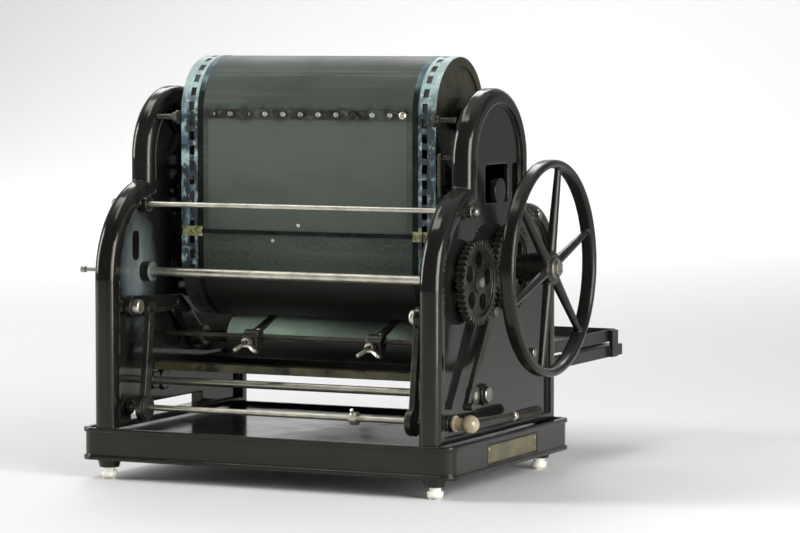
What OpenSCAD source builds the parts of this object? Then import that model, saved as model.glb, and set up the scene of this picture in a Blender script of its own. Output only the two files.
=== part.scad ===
// Hand driven stencil duplicator with two cylinders and an endless silk screen.
// Millimetres. +X is the handwheel side, +Y the paper feed side, +Z up.
// Every piece is drawn from the middle of the base's front face at table level,
// and place() then sets the origin under the middle of the whole machine.

/* [Base] */
// Width of the cast plinth
base_w = 412; // [400:1:450]
// Depth of the cast plinth
base_d = 294; // [290:1:320]
// Height of the plinth casting
base_h = 32; // [24:1:44]
// Radius of the plinth's upright corners
base_corner_r = 14; // [8:1:22]
// Wall of the hollow plinth
base_wall = 6; // [4:0.5:9]
// Height of the raised rim round the deck
deck_rim_h = 4; // [2:0.5:7]
// Height of a foot cup under the plinth
cup_h = 8; // [5:1:14]
// Height of the glazed foot below its cup
foot_h = 12; // [8:1:18]
// Widest radius of a glazed foot
foot_r = 8; // [6:0.5:10]
// Distance of the front feet behind the plinth's front face
foot_front_y = 16; // [14:1:40]
// Distance of the rear feet behind the plinth's front face
foot_back_y = 270; // [230:1:272]
// Distance of a foot inside the plinth's side
foot_inset = 26; // [22:1:46]
// Length of the name plate's pocket in the plinth's right side
plate_l = 124; // [90:1:130]

/* [Side frames] */
// Ledge of the plinth outside each side frame
frame_margin = 16; // [12:0.5:20]
// Width of the cast rim across the machine
frame_t = 23; // [20:1:28]
// Depth of the rim in the plane of the frame
rim_depth = 15; // [12:1:18]
// Radius of the rim's rounded edges
rim_round = 8; // [4:0.5:9]
// How far the web lies inside the rim's inner face
web_inner_step = 6; // [4:0.5:8]
// How far the web lies inside the rim's outer face
web_outer_step = 4; // [2:0.5:6]
// Front edge of the frame behind the plinth's front face
frame_front = 1; // [0:0.5:3]
// Rear edge of the frame behind the plinth's front face
frame_back = 292; // [286:1:294]
// Radius of the front lobe
front_lobe_r = 100; // [94:1:104]
// Height of the front lobe's centre above the plinth
front_lobe_rise = 148; // [138:1:154]
// Radius of the top lobe
top_lobe_r = 72; // [68:1:76]
// Height of the top lobe's centre above the plinth
top_lobe_rise = 268; // [262:1:274]
// Front edge of the top lobe
top_lobe_front = 76; // [72:1:82]
// Radius of the rear shoulder
shoulder_r = 60; // [50:1:66]
// Height of the rear shoulder's centre above the plinth
shoulder_rise = 163; // [148:1:170]
// Height of the light slot low in the left frame
window_h = 13; // [8:1:15]
// Length of the light slot low in the left frame
window_l = 150; // [100:1:170]
// Front edge of the web windows under the top lobe
lobe_window_y = 120; // [112:1:126]
// Lower edge of the web windows under the top lobe above the plinth
lobe_window_rise = 227; // [224:1:232]
// Height of the web windows under the top lobe
lobe_window_h = 38; // [32:1:40]
// Length of the front web window under the top lobe
lobe_window_l = 56; // [52:1:60]

/* [Cylinders and screen] */
// Radius of both printing cylinders
cyl_r = 57; // [54:0.5:58]
// Gap between the ends of the printing cylinders and the side frames
cyl_inset = 25; // [23:0.5:28]
// Wall of a printing cylinder
cyl_wall = 3; // [2:0.5:5]
// Thickness of a cylinder's end disc
disc_t = 6; // [4:0.5:10]
// Distance of the cylinder shafts behind the plinth's front face
cyl_y = 157; // [155:0.5:159]
// Height of the lower cylinder's shaft above the plinth
low_rise = 163; // [161:0.5:166]
// Rise from the lower to the upper cylinder's shaft
cyl_rise = 150; // [146:0.5:152]
// Running gap between the cylinders and the screen
screen_gap = 0.3; // [0.2:0.05:0.5]
// Thickness of the silk screen
screen_t = 0.7; // [0.5:0.1:1]
// Width of a perforated edge band
band_w = 24; // [20:0.5:28]
// Length of a slot in the edge band
slot_l = 9; // [6:0.5:11]
// Width of a slot in the edge band
slot_w = 6; // [4:0.5:9]
// Pitch of the slots along the edge band
slot_pitch = 15; // [13:0.5:18]
// Height of the stencil heading strip
heading_h = 9; // [6:0.5:12]
// Height of the heading strip's upper edge above the upper shaft
heading_rise = 4.5; // [0:0.5:5]
// Number of heading studs
stud_count = 11; // [7:1:13]
// Drop of the screen's seam below the upper shaft
seam_drop = 119; // [110:1:126]

/* [Handwheel] */
// Outer radius of the handwheel
wheel_r = 107; // [100:1:112]
// Radial depth of the handwheel's rim
wheel_rim_d = 8; // [6:0.5:11]
// Width of the handwheel's rim
wheel_rim_w = 15; // [9:0.5:16]
// Number of spokes
spoke_count = 6; // [5:1:8]
// Angle of the first spoke above the level
spoke_angle = 18; // [0:1:60]
// Spoke radius at the hub
spoke_r_hub = 5.2; // [4:0.1:6]
// Spoke radius at the rim
spoke_r_rim = 3.4; // [2.6:0.1:4]
// Radius of the handwheel's hub
hub_r = 16; // [13:0.5:19]
// Gap between the right frame and the middle of the wheel rim
wheel_stand_off = 49; // [45:1:54]

/* [Gears] */
// Tooth size shared by the two gears
gear_module = 2; // [1.9:0.05:2.05]
// Teeth of the driving gear
drive_teeth = 42; // [40:1:42]
// Teeth of the gear on the front shaft
front_teeth = 40; // [38:1:40]
// Width of the gear teeth
gear_w = 8; // [6:0.5:9]
// Slope of the line from the driving shaft down to the front shaft
gear_slope = 7; // [0:0.2:8]

/* [Impression roller] */
// Radius of the rubber impression roller
press_r = 22; // [19:0.5:23]
// Distance of the impression roller's ends inside the ends of the cylinders
press_inset = 32; // [24:1:42]
// Thickness of the rubber sleeve
rubber_t = 9; // [6:0.5:11]
// Thickness of an impression arm
arm_t = 8; // [6:0.5:9]
// Distance of the arm pivots behind the plinth's front face
arm_pivot_y = 28; // [26:0.5:32]
// Height of the arm pivots above the plinth
arm_pivot_rise = 121; // [118:0.5:126]

/* [Hand lever] */
// Distance of the control shaft behind the plinth's front face
control_y = 38; // [36:0.5:40]
// Height of the control shaft above the plinth
control_rise = 19; // [16:0.5:22]
// Radius of the control shaft
control_r = 3; // [2.5:0.1:3.6]
// Throw of the two eccentrics
throw = 5; // [4:0.1:5.4]
// Length of the lever's bright rod
lever_rod_l = 109; // [90:1:120]
// Length of the lever's black grip
grip_l = 58; // [45:1:66]
// Radius of the ball that the lever starts from
lever_ball_r = 9; // [8:0.5:10]
// Place of the small collar on the control shaft
control_collar_x = 83.5; // [75:0.5:90]

/* [Front rods] */
// Distance of the upper tie rod behind the plinth's front face
top_tie_y = 66; // [64:0.5:70]
// Height of the upper tie rod above the plinth
top_tie_rise = 222; // [216:0.5:224]
// Radius of the upper tie rod
top_tie_r = 2.6; // [2:0.1:3.4]
// Distance of the lower tie rod behind the plinth's front face
low_tie_y = 90; // [86:0.5:94]
// Height of the lower tie rod above the plinth
low_tie_rise = 41; // [40:0.5:48]
// Radius of the lower tie rod
low_tie_r = 4; // [3:0.1:5]
// Radius of the front shaft
front_shaft_r = 4.6; // [4:0.1:5.4]
// Distance of the guide rod behind the plinth's front face
guide_rod_y = 80; // [77:0.5:82]
// Height of the guide rod above the plinth
guide_rod_rise = 91; // [89:0.5:94]
// Radius of the guide rod
guide_rod_r = 2.5; // [2:0.1:3]
// Place of the left paper stripper across the machine
left_stripper_x = -50; // [-60:1:-40]
// Place of the right paper stripper across the machine
right_stripper_x = 87; // [70:1:90]

/* [Paper feed] */
// Gap between the feed table and each side frame
table_inset = 17.5; // [16:0.5:26]
// Length of the feed table
table_l = 299; // [270:1:320]
// Height of the feed table's side flanges
table_flange = 13; // [10:0.5:18]
// Sheet thickness of the feed table
sheet_t = 2; // [1.2:0.1:3]
// Rear end of the table's rails behind the plinth's front face
rail_back = 575; // [565:1:590]
// Height of the underside of the rails above the plinth
rail_rise = 39; // [36:0.5:42]
// Height of a rail's section
rail_h = 12; // [10:0.5:14]
// Height of the rests between rails and table
rest_h = 5; // [3:0.5:7]
// Radius of a feed wheel
feed_r = 16; // [13:0.5:18]
// Distance of the feed shaft behind the plinth's front face
feed_y = 240; // [238:0.5:246]
// Height of the feed shaft above the plinth
feed_rise = 120; // [116:0.5:126]
// Height of the paper side guides
side_guide_h = 25; // [18:1:28]
// Distance of a side guide inside the table's side
guide_inset = 43.5; // [38:0.5:60]

/* [Fits] */
// Radial clearance of a running shaft
run_fit = 0.05; // [0.02:0.01:0.1]
// Radial clearance of a pressed shaft
press_fit = 0.02; // [0.01:0.01:0.05]
// Gap between faces that pass each other
pass_gap = 0.3; // [0.2:0.05:0.5]

/* [Hidden] */
$fn = 64;

enamel = [0.09, 0.09, 0.09];
nickel = [0.80, 0.78, 0.72];
steel = [0.55, 0.55, 0.54];
brass = [0.62, 0.55, 0.32];
inked = [0.30, 0.27, 0.17];
silk = [0.28, 0.31, 0.28];
band_green = [0.56, 0.68, 0.68];
rubber_green = [0.40, 0.47, 0.43];
white_glaze = [0.90, 0.88, 0.82];
grip_black = [0.05, 0.05, 0.05];

// Levels and plan of the base
foot_x = base_w / 2 - foot_inset;
plinth_lip = 2;
cup_z = foot_h;
base_z = cup_z + cup_h;
base_top = base_z + base_h;
deck_z = base_top - deck_rim_h;

// Heights above the table
front_lobe_z = base_top + front_lobe_rise;
top_lobe_z = base_top + top_lobe_rise;
shoulder_z = base_top + shoulder_rise;
lobe_window_z = base_top + lobe_window_rise;
low_z = base_top + low_rise;
arm_pivot_z = base_top + arm_pivot_rise;
control_z = base_top + control_rise;
top_tie_z = base_top + top_tie_rise;
low_tie_z = base_top + low_tie_rise;
guide_rod_z = base_top + guide_rod_rise;
rail_z = base_top + rail_rise;
feed_z = base_top + feed_rise;

// Planes of the side frames
frame_gap = base_w - 2 * (frame_t + frame_margin);
frame_in = frame_gap / 2;
frame_out = frame_in + frame_t;
web_in = frame_in + web_inner_step;
web_out = frame_out - web_outer_step;
front_lobe_y = frame_front + front_lobe_r;
top_lobe_y = top_lobe_front + top_lobe_r;
top_lobe_back = top_lobe_front + 2 * top_lobe_r;
shoulder_y = frame_back - shoulder_r;
foot_flange_h = 6;
blind_wall = 3;
bore_end = web_out - blind_wall;

// Bolts on the outside of the frames
tray_bolt_y = 114;
tray_bolt_z = base_top + 40;
tray_bolt_r = 8.5;
rail_bolt_y = 237;
rail_bolt_z = rail_z + 32;
bolt_head_r = 4.6;
bolt_head_h = 4;
bolt_r = 2.5;
bolt_depth = 7;
shoulder_bolt_r = shoulder_r - 11;
shoulder_bolt_a = 79;
shoulder_bolt_y = shoulder_y + shoulder_bolt_r * cos(shoulder_bolt_a);
shoulder_bolt_z = shoulder_z + shoulder_bolt_r * sin(shoulder_bolt_a);

// Shafts and the screen round them
high_z = low_z + cyl_rise;
cyl_l = frame_gap - 2 * cyl_inset;
half_cyl = cyl_l / 2;
screen_in = cyl_r + screen_gap;
screen_out = screen_in + screen_t;
screen_front = cyl_y - screen_out;
half_silk = half_cyl - band_w;
shaft_r = 8;
axle_r = 7;
bush_t = 4;
bush_lip = 2;

// Heading strip near the top of the screen, and its seam
heading_z = high_z + heading_rise - heading_h;
heading_t = 2;
heading_half = half_silk - 4;
heading_end = 10;
seam_z = high_z - seam_drop;
seam_h = 4;
seam_t = 1.4;

// Ink roller between the cylinders
ink_r = cyl_rise / 2 - cyl_r - pass_gap;
ink_z = low_z + cyl_rise / 2;
ink_shaft_r = 5;

// Gears outside the right frame
gear_x = frame_out + 3;
gear_centres = gear_module * (drive_teeth + front_teeth) / 2;
front_y = cyl_y - gear_centres * cos(gear_slope);
front_z = low_z - gear_centres * sin(gear_slope);
pressure_angle = 20;
backlash = 0.4;
flank_steps = 3;

// Handwheel
wheel_x = frame_out + wheel_stand_off;
hub_in = gear_x + gear_w + 4;
hub_ahead = 5;
hub_out = wheel_x + hub_ahead;
nut_h = 6;

// Impression roller and its arms
press_l = cyl_l - 2 * press_inset;
press_y = cyl_y;
press_z = low_z - screen_out - pass_gap - press_r;
press_axle_r = 6;
arm_x = frame_in - 3 - arm_t;
arm_bend_y = press_y - 34;
arm_bend_z = arm_pivot_z - 1;
link_arm = 17;
link_w = 6;
link_x = arm_x - 4 - link_w;
link_top_y = arm_pivot_y + link_arm;
link_top_z = arm_pivot_z - 3;
link_pin_r = 3;
link_slack = 0.8;
eccentric_r = throw + control_r + 1;

// Hand lever
lever_x = frame_out + 17;
lever_rod_r = 3;
grip_r = 5.5;
grip_start_y = control_y + lever_rod_l;
lever_droop = 1.2;

// Trip lever beside the gear
trip_y = 113.5;
trip_z = low_z - 41;
trip_dy = -59;
trip_dz = -88;
trip_x = frame_out + 3;
trip_t = 5;
trip_knob_r = 3.8;
trip_knob_l = 5;

// Paper strippers
block_w = 16;
block_front = guide_rod_y - 9;
wing_z = guide_rod_z - 5;
wing_screw_r = 2.2;
wing_screw_l = 14;

// Feed table on its rails
table_w = frame_gap - 2 * table_inset;
side_guide_x = table_w / 2 - guide_inset;
guide_rib = 3;
rail_w = 12;
rail_front = frame_back - 30;
rail_in = table_w / 2 + pass_gap - rail_w;
table_z = rail_z + rail_h + rest_h;
table_back = rail_back - 20;
table_front = table_back - table_l;
tilt_y = table_back - 10;
tilt_z = table_z + 5;
tilt_r = 3;
ear_t = 4;
feed_shaft_r = 5;

// Extent of the whole machine, which sets the origin
knob_reach = 56;
x_low = -(frame_out + knob_reach);
x_high = hub_out + nut_h;
x_mid = (x_low + x_high) / 2;
y_mid = rail_back / 2;

module place() {
    translate([-x_mid, -y_mid, 0]) children();
}

// A round bar along X from x0 to x1
module bar_x(r, x0, x1, y, z) {
    translate([x0, y, z]) rotate([0, 90, 0]) cylinder(r = r, h = x1 - x0);
}

// A flat shape drawn in Y and Z and given its thickness along X
module plate_x(x0, x1) {
    translate([x0, 0, 0]) rotate([90, 0, 90]) linear_extrude(height = x1 - x0) children();
}

// A turned profile, radius against length, about an X axis
module turned_x(x0, y, z) {
    translate([x0, y, z]) rotate([0, 90, 0]) rotate_extrude() children();
}

module both_sides() {
    children();
    mirror([1, 0, 0]) children();
}

// Outline of a bar with two round ends
module tapered_bar(p, rp, q, rq) {
    a = atan2(q[1] - p[1], q[0] - p[0]);
    b = acos((rp - rq) / norm(q - p));
    up = [cos(a + b), sin(a + b)];
    down = [cos(a - b), sin(a - b)];
    translate(p) circle(r = rp);
    translate(q) circle(r = rq);
    polygon([p + rp * up, q + rq * up, q + rq * down, p + rp * down]);
}

// Cast plinth

module rounded_plan(w, d, r) {
    side = w / 2 - r;
    translate([-w / 2, r]) square([w, d - 2 * r]);
    translate([-side, 0]) square([2 * side, d]);
    for (x = [-side, side], y = [r, d - r])
        translate([x, y]) circle(r = r);
}

module inset_plan(inset) {
    translate([0, inset]) rounded_plan(base_w - 2 * inset, base_d - 2 * inset, base_corner_r - inset);
}

module base() {
    band_h = 2 * plinth_lip;
    plate_recess = 1;
    plate_edge = 6;
    hollow_h = deck_z - base_wall - base_z;
    color(enamel) place() difference() {
        union() {
            translate([0, 0, base_z]) linear_extrude(height = base_h) inset_plan(plinth_lip);
            for (z = [base_z, base_top - band_h])
                translate([0, 0, z]) linear_extrude(height = band_h) inset_plan(0);
        }
        translate([0, 0, deck_z]) linear_extrude(height = base_h) inset_plan(base_wall);
        translate([0, 0, base_z - 1]) linear_extrude(height = hollow_h + 1)
            inset_plan(base_wall + plinth_lip);
        translate([base_w / 2 - plinth_lip - plate_recess, (base_d - plate_l) / 2, base_z + plate_edge])
            cube([base_wall, plate_l, base_h - 2 * plate_edge]);
    }
}

module each_foot() {
    for (x = [-foot_x, foot_x], y = [foot_front_y, foot_back_y])
        translate([x, y, 0]) children();
}

module foot_cups() {
    stud_r = 3;
    color(enamel) place() each_foot() {
        translate([0, 0, cup_z]) cylinder(r1 = foot_r + 2, r2 = foot_r + 4, h = cup_h);
        translate([0, 0, base_z]) cylinder(r = stud_r, h = deck_z - base_wall - base_z);
    }
}

module feet() {
    neck_r = foot_r - 2;
    tread = foot_r / 2;
    color(white_glaze) place() each_foot() rotate_extrude() {
        square([foot_r - tread, foot_h]);
        translate([foot_r - tread, tread]) intersection() {
            circle(r = tread);
            translate([0, -tread]) square([tread, 2 * tread]);
        }
        translate([0, tread]) square([foot_r, foot_h - 2 * tread]);
        square([neck_r, foot_h]);
    }
}

// Cast side frames

module frame_outline(inset) {
    f = frame_front + inset;
    b = frame_back - inset;
    translate([f, base_top]) square([b - f, front_lobe_z - base_top]);
    translate([front_lobe_y, base_top]) square([shoulder_y - front_lobe_y, shoulder_z - base_top]);
    translate([shoulder_y, base_top]) square([shoulder_r - inset, shoulder_z - base_top]);
    translate([front_lobe_y, front_lobe_z]) circle(r = front_lobe_r - inset);
    translate([shoulder_y, shoulder_z]) circle(r = shoulder_r - inset);
    translate([top_lobe_front + inset, front_lobe_z])
        square([2 * (top_lobe_r - inset), top_lobe_z - front_lobe_z]);
    translate([top_lobe_y, top_lobe_z]) circle(r = top_lobe_r - inset);
}

// Section of the rim: the outline lies at x = edge and the metal inside it
module rim_section(edge) {
    translate([edge - rim_depth, 0]) square([rim_depth - rim_round, frame_t]);
    translate([edge - rim_round, rim_round]) square([rim_round, frame_t - 2 * rim_round]);
    for (y = [rim_round, frame_t - rim_round]) translate([edge - rim_round, y]) circle(r = rim_round);
}

module rim_arc(y, z, r, from, to) {
    translate([frame_in, y, z]) rotate([90, 0, 90]) rotate([0, 0, from])
        rotate_extrude(angle = to - from) rim_section(r);
}

module rim_front_arc(y, z, r, sweep) {
    translate([frame_in, y, z]) rotate([90, 0, 90]) mirror([1, 0, 0])
        rotate_extrude(angle = sweep) rim_section(r);
}

module rim_front(y, z0, z1) {
    translate([frame_in, y, z0]) rotate([0, 0, -90]) linear_extrude(height = z1 - z0) rim_section(0);
}

module rim_rear(y, z0, z1) {
    translate([frame_out, y, z0]) rotate([0, 0, 90]) linear_extrude(height = z1 - z0) rim_section(0);
}

module frame_rim() {
    front_meet = acos((top_lobe_front - front_lobe_y) / front_lobe_r);
    rear_meet = acos((top_lobe_back - shoulder_y) / shoulder_r);
    rear_meet_z = shoulder_z + shoulder_r * sin(rear_meet);
    rim_front(frame_front, base_top, front_lobe_z);
    rim_front_arc(front_lobe_y, front_lobe_z, front_lobe_r, 187 - front_meet);
    rim_front(top_lobe_front, front_lobe_z + front_lobe_r - rim_depth, top_lobe_z);
    rim_arc(top_lobe_y, top_lobe_z, top_lobe_r, 0, 90);
    rim_front_arc(top_lobe_y, top_lobe_z, top_lobe_r, 90);
    rim_rear(top_lobe_back, rear_meet_z - rim_depth / 2, top_lobe_z);
    rim_arc(shoulder_y, shoulder_z, shoulder_r, 0, rear_meet);
    rim_rear(frame_back, base_top, shoulder_z);
}

module frame_body() {
    boss_lip = 2;
    frame_rim();
    plate_x(web_in, web_out) frame_outline(rim_round);
    translate([frame_in, frame_front + rim_depth / 2, base_top])
        cube([frame_t, frame_back - frame_front - rim_depth, foot_flange_h]);
    bar_x(cyl_r / 3 + bush_t, frame_in, web_out, cyl_y, high_z);
    bar_x(cyl_r / 3 + bush_t + boss_lip, frame_in, frame_out, cyl_y, low_z);
    bar_x(front_shaft_r * 2.2, frame_in - 4, frame_out + 2, front_y, front_z);
    bar_x(top_tie_r * 3, frame_in - 6, frame_out, top_tie_y, top_tie_z);
    bar_x(low_tie_r * 2.2, frame_in, frame_out, low_tie_y, low_tie_z);
    bar_x(control_r * 2.6, frame_in, frame_out, control_y, control_z);
    bar_x(guide_rod_r * 2.6, web_in - 3, web_out, guide_rod_y, guide_rod_z);
    bar_x(tray_bolt_r + 2, web_in - 3, frame_out, tray_bolt_y, tray_bolt_z);
    bar_x(ink_shaft_r * 2.2, frame_in, web_out, cyl_y, ink_z);
    bar_x(feed_shaft_r * 2.2, frame_in, web_out, feed_y, feed_z);
}

module frame_bores() {
    past = frame_t;
    bar_x(axle_r + bush_t, frame_in - past, bore_end, cyl_y, high_z);
    bar_x(shaft_r + bush_t, frame_in - past, frame_out + past, cyl_y, low_z);
    bar_x(front_shaft_r + run_fit, frame_in - past, frame_out + past, front_y, front_z);
    bar_x(top_tie_r + press_fit, frame_in - past, frame_out + past, top_tie_y, top_tie_z);
    bar_x(low_tie_r + press_fit, frame_in - past, frame_out + past, low_tie_y, low_tie_z);
    bar_x(control_r + run_fit, frame_in - past, frame_out + past, control_y, control_z);
    bar_x(guide_rod_r + press_fit, web_in - past, bore_end, guide_rod_y, guide_rod_z);
    bar_x(ink_shaft_r + run_fit, frame_in - past, bore_end, cyl_y, ink_z);
    bar_x(feed_shaft_r + run_fit, frame_in - past, bore_end, feed_y, feed_z);
    bar_x(link_pin_r * 2 + press_fit, web_in - past, bore_end, arm_pivot_y, arm_pivot_z);
    bar_x(bolt_r + press_fit, frame_out - bolt_depth, frame_out + past, tray_bolt_y, tray_bolt_z);
    bar_x(bolt_r + press_fit, web_out - bolt_depth, frame_out + past, rail_bolt_y, rail_bolt_z);
    bar_x(bolt_r + press_fit, frame_out - bolt_depth, frame_out + past, shoulder_bolt_y, shoulder_bolt_z);
}

// Windows in the web under the top lobe, round the boss of the ink roller's shaft
module lobe_windows() {
    corner = 5;
    tongue = 10;
    rear_y = lobe_window_y + lobe_window_l + tongue;
    rear_l = 16;
    island_r = ink_shaft_r * 2.2 + 2;
    plate_x(web_in - 1, web_out + 1) difference() {
        union() {
            window_shape(lobe_window_y, lobe_window_z, lobe_window_l, lobe_window_h, corner);
            window_shape(rear_y, lobe_window_z, rear_l, lobe_window_h, corner);
        }
        translate([cyl_y, ink_z]) circle(r = island_r);
    }
}

module window_shape(y, z, l, h, corner) {
    translate([y, z + corner]) square([l, h - 2 * corner]);
    translate([y + corner, z]) square([l - 2 * corner, h]);
    for (v = [y + corner, y + l - corner], w = [z + corner, z + h - corner])
        translate([v, w]) circle(r = corner, $fn = 32);
}

module left_side_frame() {
    window_y = control_y + control_r * 2.6 + 2;
    pocket_l = 14;
    pocket_h = 30;
    pocket_y = front_y - pocket_l - 9;
    pocket_z = front_z + 12;
    color(enamel) place() mirror([1, 0, 0]) difference() {
        frame_body();
        frame_bores();
        translate([frame_in - 1, window_y, base_top + foot_flange_h]) cube([frame_t + 2, window_l, window_h]);
        plate_x(web_in - 1, bore_end - 1)
            window_shape(pocket_y, pocket_z, pocket_l, pocket_h, pocket_l / 2 - 1);
    }
}

module right_side_frame() {
    color(enamel) place() difference() {
        frame_body();
        frame_bores();
        lobe_windows();
        bar_x(link_pin_r + press_fit, web_out - bolt_depth, frame_out, trip_y, trip_z);
    }
}

// Fixed rods between the frames

module upper_tie_rod() {
    color(nickel) place() bar_x(top_tie_r, -frame_out - 6, frame_out + 6, top_tie_y, top_tie_z);
}

module lower_tie_rod() {
    color(nickel) place() bar_x(low_tie_r, -frame_out, frame_out, low_tie_y, low_tie_z);
}

// Domed nut on the end of the upper tie rod
module tie_rod_nut() {
    flats_r = 6.2;
    flats_h = 7;
    dome_r = 5.2;
    neck_h = 2;
    difference() {
        union() {
            translate([frame_out, top_tie_y, top_tie_z]) rotate([0, 90, 0])
                cylinder(r = flats_r, h = flats_h, $fn = 6);
            turned_x(frame_out + flats_h, top_tie_y, top_tie_z) {
                square([dome_r, neck_h]);
                translate([0, neck_h]) intersection() {
                    circle(r = dome_r);
                    square(dome_r);
                }
            }
        }
        bar_x(top_tie_r + press_fit, frame_out - 1, frame_out + flats_h, top_tie_y, top_tie_z);
    }
}

// A bolt's domed head on an outer face, with its shank in the casting
module dome_bolt(x, y, z, head_r, head_h) {
    bar_x(bolt_r, x - bolt_depth + 1, x + 1, y, z);
    turned_x(x, y, z) {
        square([head_r, head_h / 2]);
        square([head_r - head_h / 2, head_h]);
        translate([head_r - head_h / 2, head_h / 2]) circle(r = head_h / 2, $fn = 24);
    }
}

module frame_fasteners() {
    color(nickel) place() both_sides() {
        tie_rod_nut();
        dome_bolt(frame_out, tray_bolt_y, tray_bolt_z, tray_bolt_r, bolt_head_h);
        dome_bolt(web_out, rail_bolt_y, rail_bolt_z, bolt_head_r, bolt_head_h);
        dome_bolt(frame_out, shoulder_bolt_y, shoulder_bolt_z, bolt_head_r, bolt_head_h);
    }
}

module guide_rod() {
    color(nickel) place() bar_x(guide_rod_r, -bore_end, bore_end, guide_rod_y, guide_rod_z);
}

module delivery_bar() {
    leg = 8;
    t = 2;
    y = low_tie_y + low_tie_r + 3;
    z = low_tie_z + low_tie_r + 6;
    color(inked) place() plate_x(-frame_in - web_inner_step, frame_in + web_inner_step) {
        translate([y, z]) square([t, leg]);
        translate([y, z + leg - t]) square([leg * 2, t]);
    }
}

module frame_bush(bore, z, end) {
    difference() {
        union() {
            bar_x(bore + bush_t - press_fit, frame_in, end, cyl_y, z);
            bar_x(bore + bush_t + bush_lip, frame_in - bush_lip, frame_in, cyl_y, z);
        }
        bar_x(bore + run_fit, frame_in - bush_lip - 1, end + 1, cyl_y, z);
    }
}

module upper_bushes() {
    color(brass) place() both_sides() frame_bush(axle_r, high_z, bore_end);
}

module lower_bushes() {
    color(brass) place() both_sides() frame_bush(shaft_r, low_z, frame_out);
}

// Endless screen round the two cylinders

module loop_outline(r) {
    translate([cyl_y, low_z]) circle(r = r, $fn = 96);
    translate([cyl_y, high_z]) circle(r = r, $fn = 96);
    translate([cyl_y - r, low_z]) square([2 * r, cyl_rise]);
}

module loop(x0, x1) {
    plate_x(x0, x1) difference() {
        loop_outline(screen_out);
        loop_outline(screen_in);
    }
}

module silk_screen() {
    color(silk) place() loop(-half_silk, half_silk);
}

module edge_band() {
    mid = half_cyl - band_w / 2;
    middle_r = screen_in + screen_t / 2;
    runs = floor(cyl_rise / slot_pitch);
    turns = floor(PI * screen_out / slot_pitch);
    turn_step = 180 / turns;
    depth = screen_t + 4;
    module slot() {
        cube([slot_w, depth, slot_l], center = true);
    }
    difference() {
        loop(half_silk, half_cyl);
        for (i = [0 : runs - 1], side = [-1, 1])
            translate([mid, cyl_y + side * middle_r, low_z + (i + 0.5) * cyl_rise / runs]) slot();
        for (i = [0 : turns - 1], end = [0, 1])
            translate([mid, cyl_y, low_z + end * cyl_rise])
                rotate([180 * (1 - end) + (i + 0.5) * turn_step, 0, 0]) translate([0, middle_r, 0]) slot();
    }
}

module left_edge_band() {
    color(band_green) place() mirror([1, 0, 0]) edge_band();
}

module right_edge_band() {
    color(band_green) place() edge_band();
}

module heading_strip() {
    color(silk) place() translate([-heading_half, screen_front - heading_t, heading_z])
        cube([2 * heading_half, heading_t, heading_h]);
}

module heading_studs() {
    stud_r = 2.6;
    round_r = stud_r / 2;
    pitch = (2 * heading_half - 3 * heading_end) / (stud_count - 1);
    start = [-heading_half + heading_end, screen_front - heading_t, heading_z + heading_h / 2];
    color(steel) place() for (i = [0 : stud_count - 1])
        translate(start + [i * pitch, 0, 0]) rotate([90, 0, 0]) rotate_extrude() {
            square([round_r, stud_r]);
            square([stud_r, round_r]);
            translate([round_r, round_r]) circle(r = round_r);
        }
}

module heading_knob() {
    knob_r = 4;
    round_r = knob_r / 2;
    at = [heading_half - heading_end / 2, screen_front - heading_t, heading_z + heading_h / 2];
    color(nickel) place() translate(at) rotate([90, 0, 0]) rotate_extrude() {
        square([round_r, 3 * round_r]);
        translate([0, round_r]) square([knob_r, round_r]);
        translate([round_r, knob_r]) intersection() {
            circle(r = round_r);
            square(knob_r);
        }
    }
}

module seam_bar() {
    color(steel) place() translate([-half_silk, screen_front - seam_t, seam_z - seam_h / 2])
        cube([2 * half_silk, seam_t, seam_h]);
}

module seam_clips() {
    clip_w = band_w - 3;
    clip_h = 10;
    t = 2.4;
    color(brass) place() both_sides() difference() {
        translate([half_silk, screen_front - t, seam_z - clip_h / 2]) cube([clip_w, t, clip_h]);
        translate([half_silk + clip_w / 2, screen_front - t - 1, seam_z - clip_h / 2 - 1])
            cube([clip_w / 4, t, clip_h + 2]);
    }
}

module band_guides() {
    y = screen_front - 4;
    z = high_z - 4;
    stud_r = 3;
    roll_r = 7;
    roll_w = 6;
    start = half_cyl + pass_gap;
    color(nickel) place() {
        both_sides() {
            bar_x(stud_r, start, frame_in, y, z);
            bar_x(roll_r, start, start + 2, y, z);
            bar_x(roll_r - 2, start + 2, start + roll_w, y, z);
        }
        edge_strip(screen_front + 1, high_z - 41, stud_r);
    }
}

// Upright strip beside the right edge band, on a stud in the frame
module edge_strip(y, z, stud_r) {
    strip_r = 5.5;
    strip_l = 35;
    strip_t = 3;
    x = half_cyl + 4;
    plate_x(x, x + strip_t) tapered_bar([y, z], strip_r, [y, z - strip_l], strip_r - 1);
    bar_x(stud_r, x + strip_t - 1, web_in, y, z);
}

// Lower cylinder, main shaft and handwheel

module cylinder_shell(z) {
    difference() {
        bar_x(cyl_r, -half_cyl, half_cyl, cyl_y, z, $fn = 96);
        bar_x(cyl_r - cyl_wall, -half_cyl - 1, half_cyl + 1, cyl_y, z, $fn = 96);
    }
}

module end_disc(bore, z) {
    recess = 2;
    rim = 5;
    boss_r = 2.4 * bore;
    disc_x = half_cyl - disc_t - recess;
    difference() {
        union() {
            bar_x(cyl_r - cyl_wall - press_fit, disc_x, half_cyl - recess, cyl_y, z, $fn = 96);
            bar_x(boss_r, disc_x, half_cyl + 3, cyl_y, z);
            difference() {
                bar_x(cyl_r - cyl_wall - press_fit, half_cyl - recess, half_cyl, cyl_y, z, $fn = 96);
                bar_x(cyl_r - cyl_wall - rim, half_cyl - recess, half_cyl + 1, cyl_y, z, $fn = 96);
            }
        }
        bar_x(bore + press_fit, disc_x - 1, half_cyl + 4, cyl_y, z);
    }
}

module lower_cylinder() {
    color(inked) place() cylinder_shell(low_z);
}

module lower_end_discs() {
    color(inked) place() both_sides() end_disc(shaft_r, low_z);
}

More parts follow.
